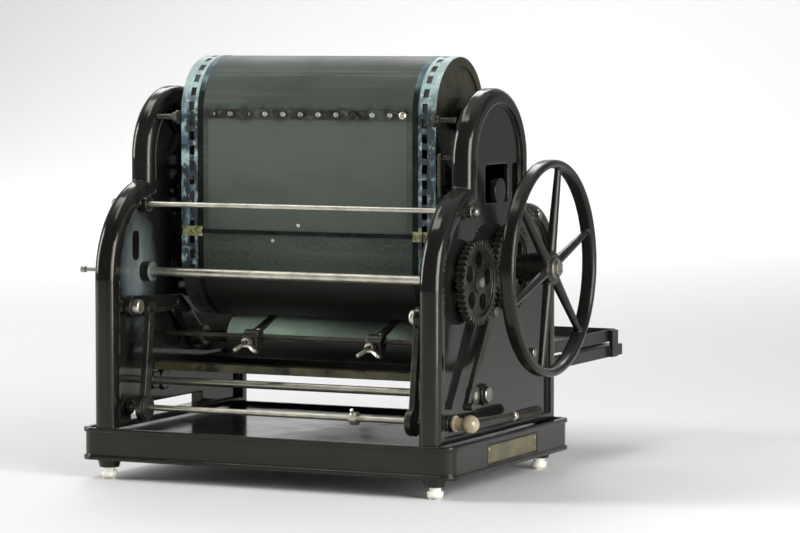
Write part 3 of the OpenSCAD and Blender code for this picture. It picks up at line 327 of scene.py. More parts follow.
def old_ivory(name):
    """Yellowed ivory white knob, darker in its pores."""
    f = Finish(name, Coat_Weight=0.4, Coat_Roughness=0.12)
    f.soften(0.6 * MM)
    f.bump(f.noise(260, 3), 0.04 * MM, 0.3)
    ivory = f.mix(f.patches(70, 6, 0.38, 0.66), f.colours.ivory, f.colours.ivory_pores)
    return f.done(Base_Color=ivory, Roughness=f.rough(90, 5, 0.2, 0.4))


def inked_and_shaded_end(f):
    """Where the screen's lower end is painted dark below the front shaft, with ink and painted shade, with a
    slightly ragged edge.
    """
    level = f.math("ADD", f.axis("Z"), f.product(f.noise(60, 6), 4 * MM))
    return f.span(level, SHADED_END_HEIGHT + 3 * MM, SHADED_END_HEIGHT)


def strip_smudges(f):
    """Ink smudged on the front of the silk, above and below the heading strip."""
    near = f.cross_line((STRIP_LOW.z + STRIP_HIGH.z) / 2, 13 * MM)
    smudge = f.span(f.noise(64, 6, (1.0, 1.0, 0.8)), 0.44, 0.6)
    front = f.span(f.axis("Y"), STRIP_LOW.y + 30 * MM, STRIP_LOW.y + 20 * MM)
    return f.product(f.span(near, 0.12, 0.6), smudge, front, 0.75)


def silk(name):
    """Fine inked silk: dark grey green, with a faint weave, cloudy ink, painted highlights along creases, and
    a lower end dark with ink and painted shade.
    """
    f = Finish(name, Sheen_Weight=0.06, Sheen_Roughness=0.4, Specular_IOR_Level=0.35)
    f.bump(f.math("ADD", f.threads("X"), f.threads("Z")), 0.05 * MM, 0.25)
    f.bump(f.noise(14, 4), 0.8 * MM, 0.2)
    colour = f.colours.silk
    streak = f.span(f.noise(16, 5, (0.25, 1, 7)), 0.5, 0.66)
    mottle = f.product(f.patches(260, 6, 0.5, 0.64), f.height(SEAM_HIGH.z + 8 * MM, SEAM_HIGH.z))
    ink = f.mix(f.patches(11, 7, 0.36, 0.66), colour, shade(colour, 0.72))
    ink = f.mix(streak, ink, shade(colour, 1.25))
    ink = f.mix(mottle, ink, shade(colour, 1.4))
    ink = f.mix(f.patches(260, 3, 0.73, 0.78), ink, f.colours.lint)
    # Pale lines along creases: painted highlights
    for height in HIGHLIT_CREASES:
        crease_highlight = f.product(f.cross_line(height, 0.7 * MM), f.patches(30, 5, 0.3, 0.6, 0.1, 0.7))
        ink = f.mix(crease_highlight, ink, shade(colour, 2.4))
    ink = f.mix(strip_smudges(f), ink, f.colours.ink_and_shade)
    # The lower end painted dark: ink and painted shade
    ink = f.mix(inked_and_shaded_end(f), ink, f.colours.ink_and_shade)
    return f.done(Base_Color=ink, Roughness=f.rough(20, 5, 0.42, 0.6))


def inked_strip(name):
    """The heading strip's cloth: silk colour under a row of black ink smudges."""
    f = Finish(name, Sheen_Weight=0.05, Specular_IOR_Level=0.4)
    f.bump(f.noise(700, 2), 0.06 * MM, 0.3)
    f.bump(f.noise(60, 5), 0.3 * MM, 0.3)
    smudge = f.span(f.noise(38, 6, (1.0, 1.0, 0.7)), 0.42, 0.54)
    cloth = f.mix(smudge, shade(f.colours.silk, 0.85), f.colours.ink_and_shade)
    cloth = f.mix(f.patches(150, 5, 0.56, 0.66), cloth, shade(f.colours.silk, 1.3))
    return f.done(Base_Color=cloth, Roughness=f.rough(50, 5, 0.3, 0.55))


def slot_column(f):
    """Ink that runs from slot to slot down the middle of either edge band."""
    left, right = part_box("left_edge_band"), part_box("right_edge_band")
    centre = (left[0].x + right[1].x) / 2
    out = (right[0].x + right[1].x) / 2 - centre
    from_centre = f.math("ABSOLUTE", f.math("SUBTRACT", f.axis("X"), centre))
    from_slots = f.math("ABSOLUTE", f.math("SUBTRACT", from_centre, out))
    return f.product(f.span(from_slots, 3.6 * MM, 2.2 * MM), f.patches(85, 5, 0.42, 0.55))


def edge_cloth(name):
    """Stiff sized cloth of the edge bands: pale blue green at the top, inky in blotches down its front."""
    f = Finish(name, Sheen_Weight=0.1)
    f.bump(f.noise(500, 2), 0.06 * MM, 0.3)
    pale = f.colours.band
    lower = f.height(BANDS_PALE_ABOVE, BANDS_DARK_BELOW)
    grime = f.product(f.patches(58, 7, 0.36, 0.56), f.span(lower, 0, 1, 0.3, 1.0))
    blots = f.product(f.span(f.noise(150, 6, (1, 1, 0.45)), 0.43, 0.53), f.span(lower, 0, 1, 0.2, 0.95))
    runs = f.product(slot_column(f), f.span(lower, 0, 1, 0.2, 1.0))
    cloth = f.mix(grime, pale, f.colours.band_grime)
    cloth = f.mix(blots, cloth, f.colours.blue_ink)
    cloth = f.mix(runs, cloth, f.colours.slot_ink)
    cloth = f.mix(f.product(f.patches(190, 5, 0.6, 0.68), 0.6), cloth, shade(pale, 1.2))
    # The bands' lower end painted dark as well: ink and painted shade
    cloth = f.mix(f.product(inked_and_shaded_end(f), 0.92), cloth, f.colours.ink_and_shade)
    return f.done(Base_Color=cloth, Roughness=f.rough(30, 4, 0.32, 0.55))


def rubber_finish(name):
    """The relief of old roller rubber, before its colour."""
    f = Finish(name, Sheen_Weight=0.15)
    f.soften(0.6 * MM)
    f.bump(f.noise(260, 4), 0.08 * MM, 0.3)
    return f


def chalky_rubber(f, deep, pale):
    """Rubber that is chalky in long patches."""
    chalk = f.span(f.noise(18, 6, (0.5, 1, 1)), 0.36, 0.6)
    return f.mix(chalk, shade(f.colours.rubber, deep), shade(f.colours.rubber, pale))


def roller_rubber(name):
    """Grey green roller rubber, chalky with age and inked in patches."""
    f = rubber_finish(name)
    inked = f.span(f.noise(26, 6, (0.7, 2, 2)), 0.6, 0.74)
    rubber = f.mix(inked, chalky_rubber(f, 1.0, 1.5), f.colours.rubber_ink)
    return f.done(Base_Color=rubber, Roughness=f.rough(60, 4, 0.45, 0.7))


def press_rubber(name):
    """The impression roller's rubber: pale green where it shows, black round its lower half with ink and
    painted shade.
    """
    low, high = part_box("impression_roller")
    f = rubber_finish(name)
    to_right = f.span(f.axis("X"), low.x + 0.45 * (high.x - low.x), high.x)
    worn = f.product(to_right, f.patches(34, 6, 0.3, 0.6))
    rubber = f.mix(worn, chalky_rubber(f, 2.4, 1.5), f.colours.press_worn)
    # Lower half painted black: ink and painted shade under the cylinder
    middle = (low.z + high.z) / 2
    ragged = f.math("ADD", f.product(f.noise(50, 6), 8 * MM), f.axis("Z"))
    rubber = f.mix(f.span(ragged, middle + 10 * MM, middle + 3 * MM), rubber, f.colours.press_ink_and_shade)
    return f.done(Base_Color=rubber, Roughness=f.rough(60, 4, 0.45, 0.7))


def white_glaze(name):
    """Cream glazed earthenware, dirty near the table."""
    f = Finish(name, Coat_Weight=0.9, Coat_Roughness=0.06, Subsurface_Weight=0.08)
    f.bump(f.noise(90, 3), 0.1 * MM, 0.2)
    soiled = f.product(f.height(6 * MM, 0.5 * MM), f.patches(160, 5, 0.35, 0.65))
    glaze = f.mix(soiled, f.colours.glaze, f.colours.table_dirt)
    return f.done(Base_Color=glaze, Roughness=f.rough(120, 4, 0.14, 0.3))


def black_grip(name):
    """Turned black hard rubber, handled to a soft shine."""
    f = Finish(name, Specular_IOR_Level=0.15)
    f.bump(f.noise(300, 3, (1, 0.1, 1)), 0.05 * MM, 0.3)
    rubber = f.mix(f.patches(40, 6, 0.4, 0.7), f.colours.grip, f.colours.grip_rubbed)
    return f.done(Base_Color=rubber, Roughness=f.rough(70, 5, 0.36, 0.55))


def bronze_plate(name):
    """Etched bronze of the bare name plate, browned, with paler rubbed patches."""
    f = Finish(name, Metallic=0.6)
    f.bump(f.noise(700, 3), 0.03 * MM, 0.4)
    metal = f.mix(f.patches(34, 7, 0.36, 0.66), f.colours.bronze, f.colours.bronze_dark)
    return f.done(Base_Color=metal, Roughness=f.rough(60, 5, 0.34, 0.55))


def stencil_paper(name):
    """Waxed stencil tissue soaked with ink: an even grey, a little lighter than the silk."""
    f = Finish(name, Sheen_Weight=0.2)
    f.bump(f.noise(160, 4), 0.06 * MM, 0.3)
    f.bump(f.noise(10, 3, (1, 1, 0.4)), 0.6 * MM, 0.3)
    damp = f.span(f.noise(22, 6, (0.6, 1, 1)), 0.55, 0.7)
    paper = f.mix(f.patches(8, 6, 0.35, 0.68), shade(f.colours.silk, 1.15), shade(f.colours.silk, 0.95))
    paper = f.mix(damp, paper, shade(f.colours.silk, 0.82))
    paper = f.mix(strip_smudges(f), paper, f.colours.ink_and_shade)
    return f.done(Base_Color=paper, Roughness=f.rough(20, 5, 0.4, 0.58))


def hem_cloth(name):
    """Folded hem of the silk, black with dried ink; the same black also paints the shade beside the hems and
    under the seam bar.
    """
    f = Finish(name, Specular_IOR_Level=0.12)
    f.bump(f.noise(900, 2), 0.08 * MM, 0.4)
    crust = f.span(f.noise(70, 6, (1, 1, 0.5)), 0.4, 0.66)
    dried = f.mix(crust, f.colours.dried_ink, shade(f.colours.dried_ink, 3.0))
    clean = f.mix(f.patches(60, 6, 0.4, 0.6), f.colours.band_grime, shade(f.colours.band, 0.5))
    cloth = f.mix(f.height(HEMS_SOILED, HEMS_CLEAN), dried, clean)
    return f.done(Base_Color=cloth, Roughness=f.rough(60, 5, 0.35, 0.6))


def pale_paint(name, colour):
    """Even matt paint of the studio floor."""
    return Finish(name, Roughness=0.7, Base_Color=(*colour, 1)).done()


WEARS = {
    "castings": (enamel, "base foot_cups right_side_frame left_impression_arm right_impression_arm"),
    "left_casting": (enamel_with_painted_reflection, "left_side_frame"),
    "wheel": (wheel_enamel, "handwheel"),
    "sheet_metal": (sheet_enamel, "table_rails feed_table"),
    "nickel_work": (bright_nickel, "upper_tie_rod lower_tie_rod heading_knob front_shaft "
                                   "control_shaft left_wing_nut right_wing_nut arm_pivots impression_core"),
    "strip_studs": (inked_studs, "heading_studs"),
    "steel_work": (oiled_steel, "frame_fasteners shaft_collar handwheel_nut trip_stud shaft_knob "
                                "main_shaft ink_roller_shaft impression_axle "
                                "left_side_guide right_side_guide feed_shaft"),
    "black_work": (blackened_steel, "drive_gear front_gear lift_links eccentrics trip_lever guide_rod "
                                    "hand_lever left_stripper right_stripper upper_axle band_guides"),
    "brass_work": (dull_brass, "upper_bushes lower_bushes"),
    "clip_brass": (greened_brass, "seam_clips"),
    "inked_work": (inked_metal, "lower_cylinder upper_cylinder lower_end_discs upper_end_discs"),
    "olive_bar": (inked_bar, "delivery_bar"),
    "screen_silk": (silk, "silk_screen"),
    "strip_cloth": (inked_strip, "heading_strip"),
    "edge_bands": (edge_cloth, "left_edge_band right_edge_band"),
    "rollers": (roller_rubber, "ink_roller feed_wheels"),
    "press_roller": (press_rubber, "impression_roller"),
    "feet_glaze": (white_glaze, "feet"),
    "lever_ball": (old_ivory, "lever_hub"),
    "grip": (black_grip, "lever_grip"),
    # The seam bar in the hems' black: its own ink and the painted shadow under the seam
    "seam_ink_and_shade": (hem_cloth, "seam_bar"),
}


def wear(material, names):
    """Gives frame parts their finish."""
    for name in names.split():
        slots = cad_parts[name].data.materials
        slots.clear()
        slots.append(material)


def finished(bm, name, material, body):
    """Turns a bmesh into a piece that rides on a body."""
    bmesh.ops.remove_doubles(bm, verts=bm.verts, dist=WELD)
    bmesh.ops.recalc_face_normals(bm, faces=bm.faces)
    mesh = bpy.data.meshes.new(name)
    bm.to_mesh(mesh)
    bm.free()
    mesh.shade_smooth()
    mesh.set_sharp_from_angle(angle=SHARP_ANGLE)
    mesh.materials.append(material)
    piece = bpy.data.objects.new(name, mesh)
    bpy.context.scene.collection.objects.link(piece)
    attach(piece, body)


def along(axis, at, roll=0.0):
    """The matrix that stands something made along +Z on a point, along an axis."""
    turn = Vector(axis).to_track_quat("Z", "Y").to_matrix().to_4x4()
    return Matrix.Translation(at) @ turn @ Matrix.Rotation(roll, 4, "Z")


def stamp(bm, shape, place):
    """Adds a copy of a bmesh to another, put in its place."""
    shape.transform(place)
    mesh = bpy.data.meshes.new("stamp")
    shape.to_mesh(mesh)
    shape.free()
    bm.from_mesh(mesh)
    bpy.data.meshes.remove(mesh)


def chain(bm, points):
    """Vertices at points, and the edges that join them in a row."""
    made = [bm.verts.new(point) for point in points]
    return made, [bm.edges.new(pair) for pair in zip(made, made[1:])]


def draw_out(bm, edges, distance):
    """Draws edges out along X into a ribbon."""
    drawn = bmesh.ops.extrude_edge_only(bm, edges=edges)["geom"]
    moved = [v for v in drawn if isinstance(v, bmesh.types.BMVert)]
    bmesh.ops.translate(bm, verts=moved, vec=(distance, 0, 0))


def turned(profile, steps=32):
    """A shape turned round Z from (radius, height) points."""
    bm = bmesh.new()
    made, edges = chain(bm, [(r, 0, z) for r, z in profile])
    bmesh.ops.spin(bm, geom=made + edges, cent=(0, 0, 0), axis=(0, 0, 1), angle=math.tau,
                   steps=steps, use_merge=True)
    return bm


def dome(radius, height, steps=6):
    """The profile of a low dome, from its rim to its crown."""
    angles = [i * math.pi / 2 / steps for i in range(steps)]
    return [(radius * math.cos(a), height * math.sin(a)) for a in angles] + [(0, height)]


def slotted_screw(radius, height, slot):
    """A cheese head screw with its slot cut across the head."""
    bm = bmesh.new()
    bmesh.ops.create_circle(bm, cap_ends=True, segments=24, radius=radius)
    for side in (-1, 1):
        bmesh.ops.bisect_plane(bm, geom=list(bm.verts) + list(bm.edges) + list(bm.faces),
                               plane_co=(side * slot / 2, 0, 0), plane_no=(1, 0, 0))
    slot_floor = 0.45 * height
    for face in list(bm.faces):
        in_slot = abs(face.calc_center_median().x) < slot / 4
        top = bmesh.ops.extrude_discrete_faces(bm, faces=[face])["faces"][0]
        bmesh.ops.translate(bm, verts=top.verts, vec=(0, 0, slot_floor if in_slot else height))
    return bm


def screen_loop(lift, width):
    """A ribbon that runs once round the screen, lifted off its surface."""
    size = SCREEN_HIGH - SCREEN_LOW
    middle = (SCREEN_LOW + SCREEN_HIGH) / 2
    radius = size.y / 2 + lift
    rise = size.z / 2 + lift - radius
    segments = 96
    across = Matrix.Rotation(math.pi / 2, 4, "Y") @ Matrix.Rotation(math.pi / segments, 4, "Z")
    bm = bmesh.new()
    bmesh.ops.create_circle(bm, segments=segments, radius=radius, matrix=across)
    for v in bm.verts:
        v.co.z += math.copysign(rise, v.co.z)
    draw_out(bm, list(bm.edges), width)
    bmesh.ops.translate(bm, verts=bm.verts, vec=(0, middle.y, middle.z))
    return bm


def tint(name, description, default):
    """A colour that can be set in the panel."""
    return bpy.props.FloatVectorProperty(name=name, description=description, default=default,
                                         subtype="COLOR", size=3, min=0, max=1)


def measure(name, description, default, low, high):
    """A length in metres that can be set in the panel."""
    return bpy.props.FloatProperty(name=name, description=description, default=default,
                                   min=low, max=high, unit="LENGTH")


class DuplicatorColours(bpy.types.PropertyGroup):
    """Colours of the finishes, as linear values."""

    enamel: tint("Enamel", "Stoved black enamel", (0.006, 0.006, 0.0055))
    worn_iron: tint("Worn iron", "Iron where the finish is rubbed away", (0.13, 0.11, 0.09))
    dust: tint("Dust", "Dust on the level surfaces", (0.2, 0.19, 0.17))
    # Colour of the painted reflection on the left frame's inner face
    painted_reflection: tint("Bloom", "Grey blue bloom on old enamel", (0.13, 0.16, 0.16))
    nickel: tint("Nickel", "Nickel plate", (0.72, 0.69, 0.57))
    steel: tint("Steel", "Machined steel", (0.36, 0.35, 0.31))
    black_steel: tint("Blackened steel", "Oily dark steel", (0.085, 0.08, 0.066))
    brass: tint("Brass", "Dull brass", (0.42, 0.40, 0.15))
    clip: tint("Clip brass", "Greened brass of the seam clips", (0.46, 0.47, 0.22))
    bronze: tint("Bronze", "Browned bronze of the name plate", (0.20, 0.175, 0.10))
    bronze_dark: tint("Dark bronze", "The name plate where it is browned most", (0.12, 0.112, 0.068))
    inked: tint("Inked metal", "Paint stained by ink", (0.055, 0.05, 0.024))
    black_ink: tint("Black ink", "Runs of black ink on painted metal", (0.010, 0.009, 0.006))
    # Real ink smudges, and also the painted shade of the screen's lower end
    ink_and_shade: tint("Wet ink", "Ink where cloth is soaked with it", (0.006, 0.005, 0.003))
    dried_ink: tint("Dried ink", "Ink dried on the hems", (0.004, 0.005, 0.005))
    blue_ink: tint("Blue ink", "Blue black blots on the edge bands", (0.010, 0.018, 0.026))
    slot_ink: tint("Slot ink", "Blue black ink that runs from slot to slot", (0.008, 0.014, 0.022))
    silk: tint("Silk", "Inked silk of the screen", (0.043, 0.055, 0.043))
    lint: tint("Lint", "Pale specks on the silk", (0.3, 0.31, 0.28))
    band: tint("Edge band", "Sized cloth of the edge bands", (0.42, 0.56, 0.53))
    band_grime: tint("Edge band grime", "Inky blue of the soiled bands", (0.055, 0.095, 0.13))
    rubber: tint("Rubber", "Rubber of the rollers", (0.22, 0.29, 0.23))
    rubber_ink: tint("Inked rubber", "Rubber where thin ink has dried on it", (0.03, 0.034, 0.03))
    # Also paints the shade round the impression roller's lower half
    press_ink_and_shade: tint("Press ink", "Black ink round the impression roller", (0.012, 0.012, 0.009))
    press_worn: tint("Worn press", "The impression roller where it is worn", (0.035, 0.04, 0.034))
    ivory: tint("Ivory", "Yellowed ball of the hand lever", (0.36, 0.30, 0.20))
    ivory_pores: tint("Ivory pores", "Dirt in the ball of the hand lever", (0.17, 0.13, 0.08))
    grip: tint("Grip", "Black hard rubber of the lever's grip", (0.012, 0.011, 0.01))
    grip_rubbed: tint("Rubbed grip", "The grip where hands have rubbed it", (0.035, 0.028, 0.022))
    glaze: tint("Glaze", "Glaze of the feet", (0.93, 0.89, 0.78))
    table_dirt: tint("Table dirt", "Dirt at the bottom of the feet", (0.25, 0.22, 0.17))
    floor: tint("Floor", "Studio floor", (0.8, 0.8, 0.79))


class DuplicatorSizes(bpy.types.PropertyGroup):
    """Sizes of the small fittings, and the camera's lens."""

    plate_length: measure("Name plate length", "Length of the bare name plate", 0.119, 0.04, 0.122)
    plate_height: measure("Name plate height", "Height of the bare name plate", 0.017, 0.01, 0.019)
    rivet_radius: measure("Rivet radius", "Radius of a name plate rivet", 0.0016, 0.001, 0.003)
    screw_radius: measure("Screw radius", "Radius of a clamp or collar screw's head", 0.00252, 0.001, 0.004)
    snap_radius: measure("Snap radius", "Radius of the two snaps in the silk", 0.0019, 0.001, 0.003)
    # The hems are widened to take in the shade beside them, painted black as hem
    hem_and_shade_width: measure("Hem width", "Width of the stitched hem of the silk", 0.0064, 0.002, 0.007)
    ferrule_length: measure("Ferrule length", "Length of the grip's ferrule", 0.009, 0.005, 0.014)
    lever_droop: bpy.props.FloatProperty(
        name="Lever droop", description="How far the hand lever's rod points down towards its grip",
        default=math.radians(1.2), min=0, max=math.radians(5), unit="ROTATION")
    # Sizes of the black sheet that paints the shade in the lobe window
    window_length: measure("Window length", "Length of the lobe window's cover", 0.056, 0.03, 0.06)
    window_height: measure("Window height", "Height of the lobe window's cover", 0.038, 0.02, 0.04)
    window_rise: measure("Window rise", "Foot of the window over the plinth", 0.227, 0.2, 0.25)
    window_front: measure("Window front", "Front edge of the window, along Y", -0.1675, -0.2, -0.14)
    shade_sheet_place: measure("Cover place", "Place of the cover in the web, along X", 0.179, 0.172, 0.183)
    boss_radius: measure("Boss radius", "Radius of the ink roller shaft's boss", 0.013, 0.008, 0.02)
    lens: bpy.props.FloatProperty(
        name="Lens", description="Focal length of the camera in millimetres",
        default=156.0, min=50, max=300)


class DUPLICATOR_OT_finishes(bpy.types.Operator):
    """Give every part of the frame its own worn finish"""

    bl_idname = "duplicator.finishes"
    bl_label = "Finishes of the frame"

    def execute(self, context):
        dressed = set()
        for name, (recipe, nodes) in WEARS.items():
            wear(recipe(name), nodes)
            dressed.update(nodes.split())
        left = set(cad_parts) - dressed
        if left:
            raise RuntimeError(f"no finish for {sorted(left)}")
        return {"FINISHED"}


class DUPLICATOR_OT_name_plate(bpy.types.Operator):
    """Fit the bare bronze plate and its rivets to the plinth's right side"""

    bl_idname = "duplicator.name_plate"
    bl_label = "Bare name plate"

    def execute(self, context):
        sizes = context.scene.duplicator_sizes
        length, height, thick = sizes.plate_length, sizes.plate_height, 0.9 * MM
        border, step, depth = 1.2 * MM, 0.3 * MM, 0.25 * MM
        moulding, rivet_inset, rivet_height = 3 * MM, 3.4 * MM, 0.7 * MM
        low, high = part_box("base")
        middle = Vector((high.x - moulding, (low.y + high.y) / 2, (low.z + high.z) / 2))
        bm = bmesh.new()
        bmesh.ops.create_cube(bm, size=1)
        bmesh.ops.scale(bm, vec=(thick, length, height), verts=bm.verts)
        bmesh.ops.bevel(bm, geom=list(bm.edges), offset=depth, segments=2, profile=0.5, material=-1,
                        affect="EDGES")
        front = max(bm.faces, key=lambda f: f.calc_center_median().x)
        bmesh.ops.inset_region(bm, faces=[front], thickness=border)
        bmesh.ops.inset_region(bm, faces=[front], thickness=step, depth=-depth)
        bmesh.ops.translate(bm, verts=bm.verts, vec=middle + Vector((thick / 2, 0, 0)))
        finished(bm, "name_plate", bronze_plate("name_plate"), "frame")

        rivets = bmesh.new()
        for y in (-1, 1):
            for z in (-1, 1):
                corner = Vector((thick, y * (length / 2 - rivet_inset), z * (height / 2 - rivet_inset)))
                rivet = turned(dome(sizes.rivet_radius, rivet_height), steps=20)
                stamp(rivets, rivet, along((1, 0, 0), middle + corner))
        finished(rivets, "name_plate_rivets", bpy.data.materials["brass_work"], "frame")
        return {"FINISHED"}


class DUPLICATOR_OT_window_shade_sheet(bpy.types.Operator):
    """Fill the window under the right frame's top lobe with a thin black sheet, cut away round the boss:
    painted shade where the window looks dark
    """

    bl_idname = "duplicator.window_cover"
    bl_label = "Window cover"

    def execute(self, context):
        sizes = context.scene.duplicator_sizes
        shaft_low, shaft_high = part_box("ink_roller_shaft")
        boss = (shaft_low + shaft_high) / 2
        front, bottom = sizes.window_front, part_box("base")[1].z + sizes.window_rise
        lengthwise = (front, boss.y - sizes.boss_radius, front + sizes.window_length)
        upward = (bottom, boss.z + sizes.boss_radius, bottom + sizes.window_height)
        thick = 1.2 * MM
        bm = bmesh.new()
        bmesh.ops.create_grid(bm, x_segments=2, y_segments=2, size=1)
        notch = [f for f in bm.faces if f.calc_center_median().x > 0 > f.calc_center_median().y]
        bmesh.ops.delete(bm, geom=notch, context="FACES")
        for v in bm.verts:
            v.co = (sizes.shade_sheet_place, lengthwise[round(v.co.x) + 1], upward[round(v.co.y) + 1])
        bmesh.ops.solidify(bm, geom=bm.faces, thickness=thick)
        # A black sheet in the castings' enamel: painted shade in the window
        finished(bm, "window_cover", bpy.data.materials["castings"], "frame")
        return {"FINISHED"}


class DUPLICATOR_OT_stencil(bpy.types.Operator):
    """Lay the stencil sheet over the silk, between the heading strip and the seam"""

    bl_idname = "duplicator.stencil"
    bl_label = "Stencil sheet"

    def execute(self, context):
        margin, gap, swell = 3 * MM, 0.1 * MM, 0.12 * MM
        left, right = STRIP_LOW.x + margin, STRIP_HIGH.x - margin
        bottom, top = SEAM_HIGH.z, STRIP_LOW.z
        columns, rows = 48, 24
        bm = bmesh.new()
        bmesh.ops.create_grid(bm, x_segments=columns, y_segments=rows, size=0.5)
        for v in bm.verts:
            across, up = v.co.x + 0.5, v.co.y + 0.5
            # Slow waves that die out at all four edges
            calm = math.sin(math.pi * across) * math.sin(math.pi * up)
            ripple = math.sin(9.0 * across + 3.0 * up) * math.sin(4.0 * up + 1.3) * calm
            v.co = (left + across * (right - left), SCREEN_LOW.y - gap - swell * (1 + ripple),
                    bottom + up * (top - bottom))
        finished(bm, "stencil_sheet", stencil_paper("stencil_paper"), "frame")
        return {"FINISHED"}


class DUPLICATOR_OT_silk_hems(bpy.types.Operator):
    """Stitch the two inked hems of the silk beside the edge bands; their width takes in painted shade beside
    them
    """

    bl_idname = "duplicator.silk_hems"
    bl_label = "Hems of the silk"

    def execute(self, context):
        width = context.scene.duplicator_sizes.hem_and_shade_width
        inset, lift = 1.2 * MM, 0.22 * MM
        bm = bmesh.new()
        for start in (SCREEN_LOW.x + inset - width, SCREEN_HIGH.x - inset):
            stamp(bm, screen_loop(lift, width), Matrix.Translation((start, 0, 0)))
        finished(bm, "silk_hems", hem_cloth("hem_cloth"), "frame")
        return {"FINISHED"}


class DUPLICATOR_OT_screen_snaps(bpy.types.Operator):
    """Set the two small nickel snaps in the silk, one over its seam and one under it"""

    bl_idname = "duplicator.screen_snaps"
    bl_label = "Snaps on the silk"

    def execute(self, context):
        radius = context.scene.duplicator_sizes.snap_radius
        seam = (SEAM_LOW.z + SEAM_HIGH.z) / 2
        bm = bmesh.new()
        for across, rise in SNAP_PLACES:
            snap = bmesh.ops.create_uvsphere(bm, u_segments=24, v_segments=12, radius=radius)["verts"]
            bmesh.ops.scale(bm, vec=(1, SNAP_FLATNESS, 1), verts=snap)
            bmesh.ops.translate(bm, vec=(across, SCREEN_LOW.y, seam + rise), verts=snap)
        finished(bm, "screen_snaps", bpy.data.materials["nickel_work"], "frame")
        return {"FINISHED"}


class DUPLICATOR_OT_grip_ferrule(bpy.types.Operator):
    """Fit the bright ferrule where the lever's rod enters its grip"""

    bl_idname = "duplicator.grip_ferrule"
    bl_label = "Grip ferrule"

    def execute(self, context):
        sizes = context.scene.duplicator_sizes
        length, droop = sizes.ferrule_length, sizes.lever_droop
        rod_low, rod_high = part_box("hand_lever")
        grip_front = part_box("lever_grip")[0].y
        bore = (rod_high.x - rod_low.x) / 2
        axis = Vector((0, math.cos(droop), -math.sin(droop)))
        start = Vector(((rod_low.x + rod_high.x) / 2, rod_low.y, rod_high.z - bore))
        reach = (grip_front - start.y) / math.cos(droop)
        overlap = 0.2 * MM
        outer, neck = bore + 1.6 * MM, bore + 1.0 * MM
        lip_in, lip_up = 0.5 * MM, 0.6 * MM
        shoulder, neck_start = 0.55 * length, 0.62 * length
        profile = [(bore, 0), (outer - lip_in, 0), (outer, lip_up), (outer, shoulder),
                   (neck, neck_start), (neck, length), (bore, length), (bore, 0)]
        bm = bmesh.new()
        stamp(bm, turned(profile), along(axis, start + axis * (reach - length + overlap)))
        finished(bm, "grip_ferrule", bpy.data.materials["nickel_work"], "control")
        return {"FINISHED"}


class DUPLICATOR_OT_slotted_screws(bpy.types.Operator):
    """Fit slotted screws to the two stripper clamps and to the shaft's collar"""

    bl_idname = "duplicator.slotted_screws"
    bl_label = "Slotted screws"

    def execute(self, context):
        radius = context.scene.duplicator_sizes.screw_radius
        steel = bpy.data.materials["steel_work"]
        slot, clamp_head, collar_head, seat = 0.7 * MM, 1.5 * MM, 1.4 * MM, 0.4 * MM

        rod_low, rod_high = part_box("guide_rod")
        rod = (rod_low + rod_high) / 2
        beside, clamp_top = 5 * MM, rod.z + 6.6 * MM
        for side in ("left", "right"):
            low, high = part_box(f"{side}_stripper")
            at = Vector(((low.x + high.x) / 2 + beside, rod.y, clamp_top))
            bm = bmesh.new()
            stamp(bm, slotted_screw(radius, clamp_head, slot), along((0, 0, 1), at, roll=0.5))
            finished(bm, f"{side}_clamp_screw", steel, f"stripper_{side}")

        low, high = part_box("shaft_collar")
        reach = (high.z - low.z) / 2 - seat
        lean = Vector((0, -0.8, 0.6))
        at = (low + high) / 2 + lean * reach
        bm = bmesh.new()
        stamp(bm, slotted_screw(radius, collar_head, slot), along(lean, at, roll=0.2))
        finished(bm, "collar_screw", steel, "lower_drum")
        return {"FINISHED"}


class DUPLICATOR_OT_stage(bpy.types.Operator):
    """Lay the pale floor, set the soft lights and place the camera"""

    bl_idname = "duplicator.stage"
    bl_label = "Floor, light and camera"

    def execute(self, context):
        scene = context.scene
        lay_floor(scene.duplicator_colours.floor)
        scene.world = studio_world()
        scene.view_settings.view_transform = "Standard"
        hang_lights()

        camera = bpy.data.objects.new("camera", bpy.data.cameras.new("camera"))
        camera.data.lens = scene.duplicator_sizes.lens
        camera.data.sensor_width = SENSOR_WIDTH
        camera.data.clip_end = SIGHT_END
        camera.location = CAMERA_PLACE
        camera.rotation_mode = "QUATERNION"
        camera.rotation_quaternion = looking(CAMERA_PLACE, CAMERA_TARGET)
        scene.collection.objects.link(camera)
        scene.camera = camera
        return {"FINISHED"}


def looking(place, target):
    """The turn of a camera or a light that looks from one point at another."""
    return (Vector(target) - Vector(place)).to_track_quat("-Z", "Y")


def lay_floor(colour):
    """A floor that sweeps up far behind the machine."""
    front, back, half, radius, top = -9.0, 5.0, 12.0, 3.0, 9.0
    steps = 16
    angles = [i * math.pi / 2 / steps for i in range(1, steps + 1)]
    path = [(front, 0.0), (back, 0.0)]
    path += [(back + radius * math.sin(a), radius - radius * math.cos(a)) for a in angles]
    path.append((back + radius, top))
    bm = bmesh.new()
    edges = chain(bm, [(-half, y, z) for y, z in path])[1]
    draw_out(bm, edges, 2 * half)
    mesh = bpy.data.meshes.new("floor")
    bm.to_mesh(mesh)
    bm.free()
    mesh.shade_smooth()
    mesh.materials.append(pale_paint("floor_paint", colour))
    floor = bpy.data.objects.new("floor", mesh)
    bpy.context.scene.collection.objects.link(floor)


